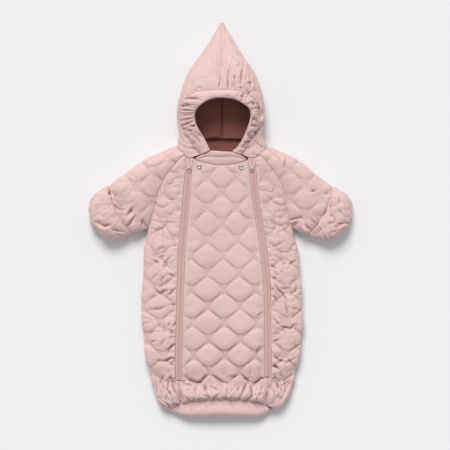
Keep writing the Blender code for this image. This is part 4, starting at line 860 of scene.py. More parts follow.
def thread_group():
    group, entry, exit_node = node_group(
        "thread", [("Distance", "NodeSocketFloat"), ("Place", "NodeSocketVector")],
        [("Mask", "NodeSocketFloat")])
    split = group.nodes.new("ShaderNodeSeparateXYZ")
    group.links.new(entry.outputs["Place"], split.inputs[0])
    near = math_node(group, "ABSOLUTE", entry.outputs["Distance"])
    line = math_node(group, "LESS_THAN", near, 0.42)
    along = math_node(group, "ADD", split.outputs[0], split.outputs[1])
    phase = math_node(group, "FRACT", math_node(group, "MULTIPLY", along, 1 / 0.0032))
    dash = math_node(group, "LESS_THAN", phase, 0.78)
    group.links.new(math_node(group, "MULTIPLY", line, dash), exit_node.inputs["Mask"])
    return group


WOVEN = woven_group()
THREAD = thread_group()


def mixed(tree, factor, first, second):
    """A colour mix; colours are given as three numbers or as sockets."""
    node = tree.nodes.new("ShaderNodeMix")
    node.data_type = "RGBA"
    tree.links.new(factor, node.inputs[0])
    for socket, value in ((node.inputs[6], first), (node.inputs[7], second)):
        if isinstance(value, tuple):
            socket.default_value = (*value, 1.0)
        else:
            tree.links.new(value, socket)
    return node.outputs[2]


def noise(tree, vector, scale, detail=3.0):
    node = tree.nodes.new("ShaderNodeTexNoise")
    node.inputs["Scale"].default_value = scale
    node.inputs["Detail"].default_value = detail
    tree.links.new(vector, node.inputs["Vector"])
    return node.outputs["Fac"]


def bump(tree, height, strength, distance, normal=None):
    node = tree.nodes.new("ShaderNodeBump")
    node.inputs["Strength"].default_value = strength
    node.inputs["Distance"].default_value = distance
    tree.links.new(height, node.inputs["Height"])
    if normal is not None:
        tree.links.new(normal, node.inputs["Normal"])
    return node.outputs["Normal"]


# The lining as it looks in the hood's deep hollow: its dark red-brown is painted shade and painted light bounced
# from pink to pink.
LINING_IN_SHADE = (0.53, 0.185, 0.135)


def cloth_material(name, base, shade, sheen, wrinkle, stitch_shade_reach=1.4, cover=None):
    """Matt woven cloth: colour in soft patches between `base` and `shade`, thread on each sewn line,
    fine wrinkles, a weave and a soft sheen. Painted shade darkens the colour in valleys and within
    the groove reach, in mm, of a sewn line. The wall's inside has the lining's shaded colour, darker
    again as painted shade. `cover` is a colour over the part above the sliders."""
    made = bpy.data.materials.new(name)
    made.use_nodes = True
    tree = made.node_tree
    shader = tree.nodes["Principled BSDF"]
    coords = tree.nodes.new("ShaderNodeTexCoord").outputs["Object"]
    place = tree.nodes.new("ShaderNodeAttribute")
    place.attribute_name = "cloth"
    stitch = tree.nodes.new("ShaderNodeAttribute")
    stitch.attribute_name = "stitch"
    thread = tree.nodes.new("ShaderNodeGroup")
    thread.node_tree = THREAD
    tree.links.new(stitch.outputs["Fac"], thread.inputs["Distance"])
    tree.links.new(place.outputs["Vector"], thread.inputs["Place"])
    weave = tree.nodes.new("ShaderNodeGroup")
    weave.node_tree = WOVEN
    tree.links.new(place.outputs["Vector"], weave.inputs["Place"])
    patches = noise(tree, coords, 14.0)
    colour = mixed(tree, patches, shade, base)
    # Painted shade in the quilting's grooves: the colour darkens towards each sewn line.
    near = math_node(tree, "ABSOLUTE", stitch.outputs["Fac"])
    stitch_shade = math_node(tree, "SMOOTH_MIN", math_node(tree, "DIVIDE", near, stitch_shade_reach), 1.0, 0.4)
    stitch_shade_colour = (shade[0] * 0.94, shade[1] * 0.88, shade[2] * 0.87)
    colour = mixed(tree, stitch_shade, stitch_shade_colour, colour)
    # Painted shade in creases, folds and gathers, darker and redder the deeper they lie: it stands for shade and
    # for light bounced from pink to pink.
    valley = tree.nodes.new("ShaderNodeAttribute")
    valley.attribute_name = "valley"
    valley_shade = tuple(channel * part for channel, part in zip(shade, (0.52, 0.34, 0.30)))
    colour = mixed(tree, valley.outputs["Fac"], colour, valley_shade)
    colour = mixed(tree, thread.outputs["Mask"], colour, tuple(c * 0.9 for c in base))
    # Painted shade: the wall's inside takes the lining colour at 0.55 of its brightness.
    lined = tree.nodes.new("ShaderNodeAttribute")
    lined.attribute_name = "lined"
    colour = mixed(tree, lined.outputs["Fac"], colour, tuple(c * 0.55 for c in LINING_IN_SHADE))
    if cover:
        split = tree.nodes.new("ShaderNodeSeparateXYZ")
        tree.links.new(coords, split.inputs[0])
        high = math_node(tree, "GREATER_THAN", split.outputs[1], (SLIDER_Y + 5.0) * MM)
        colour = mixed(tree, high, colour, cover)
    tree.links.new(colour, shader.inputs["Base Color"])
    rough = math_node(tree, "MULTIPLY_ADD", noise(tree, coords, 60.0), 0.16, 0.62)
    tree.links.new(rough, shader.inputs["Roughness"])
    shader.inputs["Sheen Weight"].default_value = sheen
    shader.inputs["Sheen Roughness"].default_value = 0.45
    shader.inputs["Specular IOR Level"].default_value = 0.35
    normal = bump(tree, noise(tree, coords, 95.0, 4.0), wrinkle, 0.0012)
    normal = bump(tree, noise(tree, coords, 330.0, 2.0), wrinkle * 0.5, 0.0005, normal)
    normal = bump(tree, thread.outputs["Mask"], 0.6, 0.0003, normal)
    normal = bump(tree, weave.outputs["Height"], 0.3, 0.00005, normal)
    tree.links.new(normal, shader.inputs["Normal"])
    return made


def metal_material(name, colour, rough, metallic):
    """Metal with fine scratches and a slightly uneven polish."""
    made = bpy.data.materials.new(name)
    made.use_nodes = True
    tree = made.node_tree
    shader = tree.nodes["Principled BSDF"]
    coords = tree.nodes.new("ShaderNodeTexCoord").outputs["Object"]
    shader.inputs["Base Color"].default_value = (*colour, 1.0)
    shader.inputs["Metallic"].default_value = metallic
    polish = math_node(tree, "MULTIPLY_ADD", noise(tree, coords, 900.0), 0.2, rough)
    tree.links.new(polish, shader.inputs["Roughness"])
    normal = bump(tree, noise(tree, coords, 2500.0, 2.0), 0.12, 0.0001)
    tree.links.new(normal, shader.inputs["Normal"])
    return made


QUILTED = cloth_material("quilted_cloth_look", (0.735, 0.522, 0.495), (0.69, 0.47, 0.447), 0.25, 0.30)
# The hood lining's dark red-brown is painted shade.
LINING = cloth_material("lining_cloth_look", LINING_IN_SHADE, (0.40, 0.14, 0.10), 0.05, 0.25)
TAPE = cloth_material("zip_tape_look", (0.66, 0.435, 0.395), (0.61, 0.395, 0.36), 0.1, 0.12, 0.7,
                      (0.70, 0.49, 0.46))
# Painted reflection: the steel's warm, darker tone stands for the pink cloth mirrored in it.
STEEL = metal_material("steel_look", (0.66, 0.59, 0.56), 0.2, 1.0)
PAINTED = metal_material("painted_metal_look", (0.66, 0.47, 0.43), 0.4, 0.3)
print("materials:", [m.name for m in (QUILTED, LINING, TAPE, STEEL, PAINTED)])

# %% [markdown]
# ## Cloth on the garment
# Each piece rides on the garment and stands for its solid, which is hidden.

# %%
Cut = namedtuple("Cut", "width length area")


def finish_cloth(piece, node):
    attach(piece, "garment")
    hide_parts(node)


# %% [markdown]
# ## Front panels
# Rows run from the neck to the zip's end, over a short step where the tape ends and the two
# panels meet, and on to the foot seam. Gathers start there at uneven heights.

# %%
FOLDS = {
    "front_centre": [
        Fold(3.0, 5.0, -2.6, [(-70, -354), (-64, -357), (-57, -360), (-51, -361), (-44, -357), (-35, -347)]),
        Fold(2.4, 2.8, -1.2, [(-82, -364), (-75, -365), (-65, -367)]),
        Fold(2.2, 4.0, 1.6, [(-82, -387), (-78, -391), (-69, -400)]),
        Fold(2.4, 2.4, 1.0, [(-73, -371), (-77, -379)]),
        Fold(2.6, 3.4, -1.6, [(-46, -384), (-40, -386), (-31, -388), (-24, -395)]),
        Fold(2.4, 3.8, -1.4, [(-25, -370), (-20, -370), (-15, -373), (-9, -377)]),
        Fold(2.4, 2.8, 1.2, [(-3, -382), (-11, -387), (-16, -393), (-19, -398)]),
        Fold(2.4, 2.6, 1.2, [(-24, -348), (-28, -357), (-30, -363)]),
        Fold(2.8, 3.2, -1.8, [(-18, -347), (-11, -350), (0, -359), (9, -361)]),
        Fold(2.2, 4.4, 1.6, [(12, -370), (10, -379), (9, -388), (7, -396)]),
        Fold(2.2, 3.0, 1.2, [(21, -385), (24, -391), (28, -395)]),
        Fold(2.8, 5.4, -2.4, [(57, -359), (51, -370), (44, -381), (40, -391), (35, -399)]),
        Fold(2.2, 3.6, 1.4, [(62, -365), (64, -372), (66, -379)]),
        Fold(2.6, 3.6, -1.4, [(66, -379), (64, -390), (59, -396), (56, -401)]),
        Fold(2.8, 3.6, -2.0, [(46, -349), (53, -354), (59, -351)]),
        Fold(2.4, 2.8, 1.4, [(59, -319), (62, -337), (61, -350)]),
        Fold(2.6, 3.4, 1.8, [(85, -350), (80, -356), (75, -361), (67, -366)]),
        Fold(2.2, 3.8, 1.4, [(81, -384), (76, -391), (75, -396), (74, -400)]),
        Fold(2.8, 2.4, -1.4, [(14, -348), (26, -347), (35, -349)]),
        Fold(2.6, 2.4, -1.0, [(-57, -396), (-48, -396)]),
        Fold(2.4, 2.6, -1.2, [(75, -306), (76, -294), (79, -285), (88, -279)]),
        Fold(2.4, 2.6, -1.2, [(77, -215), (84, -209), (90, -206)]),
        Fold(2.4, 2.4, -1.2, [(-53, -318), (-44, -323), (-35, -329), (-29, -336)]),
    ],
    "front_side_left": [
        Fold(2.4, 5.0, 2.0, [(-112, -361), (-107, -371), (-102, -380), (-99, -385), (-94, -395)]),
        Fold(2.0, 5.0, 1.6, [(-94, -399), (-90, -404)]),
        Fold(2.2, 4.0, 1.6, [(-114, -348), (-118, -355), (-119, -368), (-121, -379)]),
        Fold(2.2, 2.8, -1.4, [(-114, -349), (-108, -351), (-102, -352)]),
        Fold(2.6, 3.2, -1.4, [(-125, -345), (-131, -350), (-135, -356), (-139, -365)]),
        Fold(2.2, 1.8, -0.8, [(-130, -379), (-121, -380), (-106, -381)]),
        Fold(2.4, 4.4, -2.0, [(-123, -406), (-110, -407), (-97, -405)]),
        Fold(3.0, 2.4, -1.2, [(-141, -73), (-135, -65), (-123, -62)]),
        Fold(2.4, 3.0, -1.4, [(-136, -86), (-130, -82), (-123, -82)]),
        Fold(2.6, 3.8, -1.8, [(-153, -91), (-146, -94), (-138, -98)]),
        Fold(2.4, 3.2, 1.4, [(-112, -82), (-117, -88), (-122, -95), (-127, -98)]),
        Fold(2.8, 3.4, 1.2, [(-126, -98), (-126, -114)]),
        Fold(2.4, 4.0, -1.8, [(-119, -121), (-110, -124), (-102, -129)]),
        Fold(2.6, 2.6, 1.2, [(-122, -125), (-128, -130), (-136, -135)]),
        Fold(2.8, 1.8, 0.9, [(-139, -119), (-147, -127), (-154, -135)]),
        Fold(3.0, 5.2, -2.6, [(-150, -152), (-143, -161), (-135, -164), (-128, -159), (-114, -157)]),
        Fold(2.6, 5.0, -2.4, [(-119, -169), (-112, -163), (-108, -158), (-101, -152)]),
        Fold(4.5, 2.0, -1.0, [(-161, -174), (-152, -172), (-136, -170)]),
        Fold(2.2, 2.4, -1.0, [(-112, -188), (-101, -188)]),
        Fold(2.2, 2.4, -1.2, [(-110, -61), (-103, -59), (-99, -60)]),
        Fold(3.4, 3.8, -1.8, [(-161, -201), (-150, -199), (-136, -198), (-125, -193)]),
        Fold(3.0, 2.4, -1.2, [(-143, -225), (-136, -238), (-128, -242), (-119, -253)]),
        Fold(2.4, 3.6, 1.6, [(-113, -226), (-117, -234), (-118, -238)]),
        Fold(2.4, 4.0, 1.6, [(-101, -228), (-105, -233), (-109, -240)]),
        Fold(2.4, 2.4, 1.2, [(-107, -242), (-110, -251), (-113, -262)]),
        Fold(2.4, 3.2, -1.4, [(-156, -274), (-152, -270), (-143, -268)]),
        Fold(3.2, 2.8, 1.4, [(-124, -264), (-131, -273), (-136, -282)]),
        Fold(2.4, 3.2, -1.4, [(-114, -264), (-110, -260), (-101, -260)]),
        Fold(2.0, 2.8, 1.2, [(-113, -272), (-118, -278)]),
        Fold(2.6, 5.0, -2.4, [(-119, -292), (-113, -284), (-109, -279), (-100, -277)]),
        Fold(2.6, 2.4, 1.2, [(-121, -295), (-125, -304)]),
        Fold(2.8, 5.2, -2.6, [(-141, -311), (-134, -313), (-125, -313), (-117, -308), (-111, -306), (-101, -309)]),
        Fold(2.4, 3.4, 1.4, [(-101, -312), (-109, -315), (-111, -322)]),
        Fold(2.6, 2.8, -1.4, [(-154, -22), (-143, -25), (-130, -20), (-119, -7)]),
        Fold(3.0, 2.4, -1.2, [(-152, 41), (-141, 28), (-128, 24), (-114, 33)]),
    ],
    "front_side_right": [
        Fold(2.2, 4.6, -1.8, [(100, -380), (97, -389), (94, -398)]),
        Fold(2.2, 2.4, 1.0, [(102, -365), (102, -377)]),
        Fold(2.6, 5.0, -2.0, [(97, -409), (101, -413), (112, -417)]),
        Fold(3.0, 4.0, 1.8, [(124, -370), (130, -376), (134, -381)]),
        Fold(3.4, 3.0, 1.4, [(112, -350), (119, -362), (125, -370)]),
        Fold(2.4, 3.4, -1.6, [(114, -319), (124, -330)]),
        Fold(2.4, 2.8, -1.4, [(128, -335), (130, -345), (136, -349)]),
        Fold(3.6, 2.8, -1.4, [(108, -55), (114, -60), (121, -59), (130, -53), (136, -49)]),
        Fold(2.4, 2.2, 1.0, [(99, -62), (109, -65)]),
        Fold(2.6, 2.8, -1.2, [(106, -101), (114, -106), (119, -113)]),
        Fold(2.8, 3.0, 1.4, [(119, -82), (128, -88), (134, -96), (141, -102)]),
        Fold(2.4, 2.4, -1.0, [(141, -108), (147, -108)]),
        Fold(2.8, 4.0, -1.8, [(148, -101), (154, -96), (163, -92)]),
        Fold(2.8, 3.2, 1.4, [(110, -113), (117, -119), (125, -126)]),
        Fold(2.4, 2.6, 1.0, [(130, -113), (131, -121)]),
        Fold(2.4, 2.4, -1.0, [(110, -132), (119, -129)]),
        Fold(2.8, 5.2, 2.4, [(112, -139), (118, -148), (123, -156), (128, -160), (134, -165), (139, -174), (145, -183)]),
        Fold(3.0, 3.0, -1.6, [(130, -156), (136, -153), (150, -154)]),
        Fold(3.0, 4.2, -2.0, [(163, -148), (161, -159), (150, -167)]),
        Fold(2.2, 3.4, -1.0, [(109, -153), (113, -158)]),
        Fold(2.6, 4.4, 2.0, [(110, -169), (117, -174), (123, -184)]),
        Fold(2.6, 2.8, 1.2, [(156, -124), (163, -132)]),
        Fold(2.4, 2.4, 1.0, [(114, -159), (123, -170)]),
        Fold(2.8, 3.6, 1.6, [(139, -185), (143, -203), (146, -214)]),
        Fold(2.4, 2.6, 1.2, [(156, -196), (162, -205)]),
        Fold(2.8, 3.4, -1.8, [(113, -216), (119, -226), (128, -237)]),
        Fold(2.8, 5.4, -2.8, [(128, -239), (136, -238), (145, -240), (152, -241), (156, -236), (163, -234)]),
        Fold(2.6, 3.2, 1.4, [(132, -244), (139, -248), (143, -252)]),
        Fold(2.4, 4.0, -1.8, [(112, -271), (119, -268), (128, -264)]),
        Fold(3.0, 4.8, -2.4, [(110, -293), (117, -304), (125, -311), (134, -313), (143, -315), (152, -312), (161, -304)]),
        Fold(2.6, 2.8, -1.2, [(122, -295), (130, -304), (139, -305)]),
        Fold(2.4, 4.0, -1.6, [(111, -321), (119, -326), (125, -330)]),
        Fold(2.4, 2.6, -1.2, [(134, -319), (145, -317)]),
        Fold(3.0, 2.6, -1.2, [(101, 50), (114, 35), (130, 28), (143, 35)]),
        Fold(3.0, 2.6, -1.2, [(97, 11), (110, -7), (125, -16), (145, -11)]),
    ],
    "hood_left": [
        Fold(2.0, 3.0, 1.4, [(-8, 281), (-4, 300), (-2, 322)]),
        Fold(2.6, 3.0, 1.4, [(-6, 289), (-2, 298), (0, 302)]),
        Fold(2.4, 3.0, -1.4, [(-59, 279), (-56, 283)]),
        Fold(2.6, 2.0, -1.0, [(-55, 287), (-42, 284)]),
        Fold(3.2, 1.2, 0.8, [(-26, 323), (-24, 308)]),
        Fold(3.4, 1.4, 0.8, [(-64, 305), (-68, 288)]),
        Fold(2.6, 2.4, 1.2, [(-86, 160), (-70, 151)]),
        Fold(2.6, 3.6, -1.8, [(-73, 156), (-59, 153), (-51, 152)]),
        Fold(2.6, 2.4, 1.2, [(-97, 171), (-88, 158)]),
    ],
    "hood_right": [
        Fold(2.0, 3.4, 1.4, [(12, 279), (13, 290), (11, 305), (16, 336)]),
        Fold(2.0, 2.4, -1.0, [(25, 283), (28, 296), (27, 318)]),
        Fold(2.0, 3.2, 1.4, [(44, 276), (40, 292), (43, 309), (49, 346)]),
        Fold(2.2, 3.2, 1.4, [(59, 272), (63, 292), (60, 316)]),
        Fold(2.4, 3.2, 1.4, [(84, 262), (78, 280), (72, 304)]),
        Fold(2.6, 3.4, 1.6, [(14, 321), (13, 305), (13, 288)]),
        Fold(2.4, 2.6, 1.2, [(31, 316), (26, 306)]),
        Fold(2.4, 3.0, 1.4, [(42, 323), (42, 308)]),
        Fold(2.4, 3.6, -1.6, [(53, 293), (59, 297), (67, 297)]),
        Fold(2.4, 3.0, -1.4, [(35, 286), (45, 285)]),
        Fold(2.2, 2.4, 1.0, [(30, 288), (31, 277)]),
        Fold(2.4, 3.4, 1.4, [(79, 279), (79, 261), (77, 250)]),
        Fold(2.4, 3.4, -1.4, [(66, 258), (73, 262)]),
        Fold(3.4, 4.4, 2.0, [(84, 239), (86, 228), (88, 220)]),
        Fold(2.4, 2.4, 1.2, [(55, 283), (59, 270), (57, 259)]),
        Fold(2.4, 2.4, 1.0, [(38, 338), (35, 333)]),
        Fold(2.4, 1.6, -0.8, [(10, 324), (24, 325)]),
        Fold(2.2, 2.0, 1.0, [(22, 299), (24, 288)]),
        Fold(2.4, 2.4, -1.2, [(66, 244), (73, 235), (75, 222)]),
        Fold(2.6, 2.4, 1.2, [(70, 288), (68, 275)]),
        Fold(2.6, 3.2, 1.4, [(77, 200), (81, 193)]),
        Fold(2.6, 2.8, -1.2, [(73, 171), (84, 160), (97, 154)]),
        Fold(2.6, 2.4, -1.2, [(62, 145), (75, 140), (88, 129)]),
    ],
    "hood_casing": [
        Fold(3.0, 6.0, 3.0, [(-90, 262), (-72, 263), (-55, 262), (-45, 257)]),
        Fold(2.4, 3.6, 1.2, [(44, 259), (44, 266), (47, 271), (51, 272)]),
        Fold(2.2, 3.0, -1.2, [(11, 270), (14, 265)]),
        Fold(2.4, 3.4, -1.6, [(-90, 246), (-77, 248), (-66, 245)]),
        Fold(2.2, 3.0, -1.4, [(-88, 236), (-77, 238), (-64, 236)]),
        Fold(2.4, 3.4, -1.4, [(-90, 229), (-79, 227), (-64, 229)]),
        Fold(2.4, 3.4, -1.4, [(-88, 218), (-77, 218), (-64, 220)]),
        Fold(2.2, 3.0, -1.2, [(-86, 213), (-73, 214)]),
        Fold(2.6, 4.0, -1.8, [(-88, 203), (-77, 208), (-64, 212)]),
        Fold(2.2, 4.4, -1.6, [(-68, 202), (-57, 203)]),
        Fold(2.6, 2.4, -1.2, [(-84, 196), (-66, 192)]),
        Fold(2.6, 2.0, 1.0, [(-70, 187), (-55, 176), (-44, 162)]),
        Fold(2.4, 1.8, -0.8, [(-55, 189), (-42, 176)]),
        Fold(2.4, 2.6, 1.2, [(53, 188), (59, 180)]),
        Fold(2.6, 3.4, 1.4, [(64, 220), (75, 215)]),
        Fold(2.4, 3.0, -1.2, [(62, 204), (75, 204)]),
        Fold(2.4, 2.6, 1.2, [(66, 193), (75, 187)]),
        Fold(2.4, 2.4, -1.0, [(55, 171), (66, 165)]),
        Fold(2.2, 2.4, 1.0, [(59, 244), (68, 237)]),
        Fold(2.2, 2.4, -1.0, [(62, 255), (73, 251)]),
    ],
    "sleeve_left": [
        Fold(2.2, 2.2, 1.0, [(-235.4, 56.8), (-234.3, 41.4), (-226.8, 31.2)]),
        Fold(2.4, 2.6, 1.2, [(-239.8, 27.1), (-224.6, 20.7), (-207.7, 19.4)]),
        Fold(2.0, 1.8, 0.9, [(-204.6, 43.6), (-196.9, 53.7)]),
        Fold(2.8, 4.0, 2.0, [(-193.8, 26.0), (-209.7, 5.7)]),
        Fold(2.4, 3.0, 1.6, [(-188.3, 8.8), (-205.5, -12.5)]),
        Fold(2.4, 3.2, 1.4, [(-174.5, -1.8), (-175.6, -15.8)]),
    ],
    "sleeve_right": [
        Fold(2.4, 2.6, 1.2, [(189.6, 57.9), (211.2, 63.4)]),
        Fold(2.6, 4.0, 2.0, [(181.3, -11.4), (194.0, -25.3)]),
        Fold(2.4, 3.0, 1.6, [(147.0, -2.9), (175.8, 3.5)]),
        Fold(2.4, 1.8, 1.0, [(140.8, 138.2), (136.0, 110.0)]),
    ],
    "mitten_left": [
        Fold(2.4, 3.4, 1.6, [(-250.4, 67.5), (-242.0, 50.2), (-241.8, 41.4)]),
        Fold(2.0, 2.4, 1.0, [(-239.8, 62.3), (-226.6, 75.0)]),
        Fold(2.4, 6.4, 1.2, [(-252.0, 58.0), (-247.1, 51.5)]),
        Fold(2.6, 4.0, 2.2, [(-278.1, -6.6), (-256.7, -16.7), (-242.9, -12.5)]),
        Fold(2.0, 2.2, 1.2, [(-239.8, -24.2), (-218.2, -29.5)]),
        Fold(2.2, 1.0, 0.6, [(-275.9, 37.6), (-257.8, 38.7)]),
        Fold(2.0, 1.8, 1.0, [(-263.1, 3.5), (-248.2, 9.9)]),
        Fold(1.8, 1.2, 0.6, [(-262.0, 18.0), (-250.0, 22.0)]),
    ],
    "mitten_right": [
        Fold(2.2, 5.4, 1.0, [(215.4, 72.8), (213.2, 66.4)]),
        Fold(2.6, 7.0, 1.2, [(226.6, 56.8), (232.3, 49.9)]),
        Fold(3.0, 8.0, -3.4, [(221.8, 42.9), (220.7, 34.8), (215.4, 21.6), (209.0, 9.9), (197.1, 5.7)]),
        Fold(2.4, 6.4, 1.6, [(228.1, 32.6), (224.0, 15.2), (221.8, 8.8)]),
        Fold(1.6, 1.8, 0.8, [(240.9, 34.8), (255.2, 19.4), (272.8, 3.5)]),
        Fold(2.4, 2.6, 1.6, [(250.6, -18.9), (269.7, -7.0)]),
        Fold(2.6, 3.4, 1.8, [(196.0, -25.0), (213.2, -8.1)]),
        Fold(2.4, 1.0, 0.8, [(232.0, -12.0), (246.0, -8.0)]),
    ],
    "foot_strip": [
        Fold(3.0, 1.6, 0.8, [(95, -409), (110, -417)]),
        Fold(3.0, 1.6, 0.8, [(-118, -407), (-100, -406)]),
        Fold(4.0, 1.4, 0.7, [(-30, -412), (-44, -426)]), Fold(4.0, 1.2, 0.7, [(20, -410), (34, -428)]),
        Fold(4.0, 1.2, -0.7, [(58, -410), (66, -426)]), Fold(4.0, 1.2, 0.7, [(-70, -412), (-64, -426)]),
    ],
}


def panel_knots(above, below):
    """0 to 1 down to the zip's end, 1 to 2 over the step there, 2 to 3 down to the foot."""
    return np.concatenate([lines(above), 2 + lines(below, remainder=3)])


def panel_station(knot, top, foot):
    rest = HEM - foot + ZIP_END_RUN
    return (top + (foot - top) * np.clip(knot, 0, 1) - ZIP_END_RUN * np.clip(knot - 1, 0, 1)
            + rest * np.clip(knot - 2, 0, 1))


def half_tape(knot):
    return ZIP_TAPE / 2 * (1 - np.clip(knot - 1, 0, 1))


def foot_ridges(run, station):
    """Gathers: ridges about 16 mm apart with smaller ones between, from uneven starts."""
    start = GATHER_TOP + 9.0 * bumps(run, run * 0, 15.0, 31)
    strength = ease((station - start) / -34.0)
    wide = pleat(run / 16.5 + 0.35 * bumps(run, station * 0.6, 24.0, 32))
    fine = pleat(run / 7.0 + 0.5 * bumps(run, station, 20.0, 33))
    uneven = 0.85 + 0.35 * bumps(run, station * 0.5, 31.0, 34)
    facets = np.abs(bumps(run, station * 0.62, 21.0, 35)) ** 0.7
    small = np.abs(bumps(run, station * 0.7, 10.0, 36)) ** 0.7
    tiny = np.abs(bumps(run, station * 0.8, 5.5, 37)) ** 0.8
    sharp = 3.2 * creases(run + 0.6 * station, 0.7 * station, 15.0, 38)
    sharp += 3.2 * creases(run - 0.7 * station, 0.7 * station, 13.0, 39)
    return strength * (uneven * (1.0 * wide + 0.4 * fine + 4.0 * facets + 2.2 * small + tiny) + sharp)


def press_flat(points):
    """0 under the studs, 1 away from them."""
    share = np.ones(points.shape[:2])
    for x, y in STUD_PLACE.values():
        away = np.hypot(points[..., 0] - x, points[..., 1] - y)
        share = share * ease((away - STUD_RADIUS - 1.5) / 12.0)
    return share


def foot_roll(station):
    """Above the gathers the panel sinks, and the gathered cloth stands up again."""
    sink = -6.0 * np.exp(-((station + 355.0) / 24.0) ** 2)
    return sink + 7.5 * np.exp(-((station + 386.0) / 13.0) ** 2)


def front_height(points, across, station, zip_runs, seed, bunching):
    """Quilting, foot gathers, the bunching beside a zip, crumples and seams together. The
    quilting is drawn out of true where the panel is bunched."""
    run = arc_across(across, station)
    y = points[..., 1]
    flat_run, flat_y = run, y
    run = run - lattice_lean(y) + (0.8 + 2.4 * (bunching - 0.7)) * bumps(flat_run, flat_y, 52.0, seed + 8)
    y = y + (0.8 + 2.4 * (bunching - 0.7)) * bumps(flat_run, flat_y, 49.0, seed + 9)
    fade = 1 - ease((station - GATHER_TOP) / -30.0)
    calm = ease((np.minimum.reduce(zip_runs) - 1.0) / 17.0) if bunching < 1 else 0.6
    height = quilting(run, y, seed) * fade * (0.3 + 0.7 * calm) + foot_ridges(run, station)
    for zip_run in zip_runs:
        waves = pleat(y / 20.0 + 0.9 * bumps(y * 0, y, 37.0, seed + 5)) - 0.5
        height += bunching * waves * np.exp(-(zip_run / 17.0) ** 2) * fade
    height += 1.6 * bumps(run, y, 58.0, seed + 6) + 0.5 * bumps(run, y, 17.0, seed + 7)
    height += (bunching - 0.7) * 2.2 * (np.abs(bumps(run, y, 29.0, seed + 10)) ** 0.75 - 0.3)
    height += (0.4 + 1.4 * (bunching - 0.7)) * creases(run, 1.5 * y, 24.0, seed + 13)
    edge = np.minimum.reduce(edge_runs(points))
    relief = height * puff_near(edge) * press_flat(points) * above_floor(points)
    relief += foot_roll(station) * above_floor(points) * ease(edge / 12.0)
    return relief + seam_dip(edge), np.stack([run, y], axis=-1), stitch_distance(run, y) + 99 * (1 - fade)


def front_centre():
    knot, v = np.meshgrid(panel_knots(478, 46), lines(165), indexing="ij")
    ends = [zip_x(side, 134.0) - side * ZIP_TAPE / 2 for side in (LEFT, RIGHT)]
    top = neckline(ends[0] + (ends[1] - ends[0]) * v)
    foot = ZIP_FOOT[0] + (ZIP_FOOT[1] - ZIP_FOOT[0]) * v
    station = panel_station(knot, top, foot)
    left = zip_x(LEFT, station) + half_tape(knot)
    right = zip_x(RIGHT, station) - half_tape(knot)
    across = front_across(left + (right - left) * v, station)
    points = front_surface(across, station)
    zips = edge_runs(points)[2:]
    relief, place, stitch = front_height(points, across, station, zips, 11, 0.7)
    relief += fold_relief(points, FOLDS["front_centre"])
    return shell("cloth_front_centre", points, relief, (0, -100, -500), place, stitch, QUILTED)


def neck_height(side, x):
    """Where the neck seam passes over the front at a distance x from the centre line."""
    seam = neck_seam(side, FRONT_RAGLAN_KNOT + 2 * spread(30))
    return np.interp(np.abs(x), np.abs(seam[::-1, 0]), seam[::-1, 1])


def front_side(side, name):
    knot, v = np.meshgrid(panel_knots(490, 46), lines(100), indexing="ij")
    inner_top = abs(zip_x(side, SIDE_TOP)) + ZIP_TAPE / 2
    top = neck_height(side, inner_top + (RAGLAN_FRONT[side][-1].x * side - inner_top) * v)
    station = panel_station(knot, top, zip_foot(side) + 0 * v)
    at_zip = front_across(zip_x(side, station) + side * half_tape(knot), station)
    at_raglan = front_across(seam_x(RAGLAN_FRONT[side], np.maximum(station, UNDERARM)), station)
    at_edge = np.where(station > UNDERARM, at_raglan, side)
    across = at_zip + (at_edge - at_zip) * v
    points = front_surface(across, station)
    zips = edge_runs(points)[2:3]
    relief, place, stitch = front_height(points, across, station, zips, 41 + side, 1.9)
    relief += fold_relief(points, FOLDS[name])
    return shell("cloth_" + name, points, relief, (0, -100, -500), place, stitch, QUILTED)


finish_cloth(front_centre(), "front_centre")
for hand, ending in ((LEFT, "left"), (RIGHT, "right")):
    finish_cloth(front_side(hand, "front_side_" + ending), "front_side_" + ending)

# %% [markdown]
# ## Back and foot strip
# The back is plain where it lies on the floor; the strip turns up under the foot end.

# %%
def back_panel():
    down = lines(600, 5.0)
    v = lines(380, 4.0) * 2 - 1
    down, v = np.meshgrid(down, np.sign(v) * (1 - (1 - np.abs(v)) ** 1.3), indexing="ij")
    top = 169.0 - 4.6 * np.abs(v) ** 2.2
    station = top + (HEM - top) * down
    across = v.copy()
    for side in (LEFT, RIGHT):
        raglan = back_across(seam_x(RAGLAN_BACK[side], np.maximum(station, UNDERARM)), station)
        above = (station > UNDERARM) & (np.sign(v) == side)
        across = np.where(above, np.abs(v) * raglan, across)
    points = back_surface(across, station)
    edge = np.minimum.reduce(edge_runs(points))
    run = across * 180.0
    height = 0.5 * quilting(run, points[..., 1], 71) * puff_near(edge)
    relief = height * above_floor(points) + seam_dip(edge)
    place = np.stack([run, points[..., 1]], axis=-1)
    return shell("cloth_back", points, relief, (0, -100, 500), place,
                 stitch_distance(run, points[..., 1]), QUILTED)


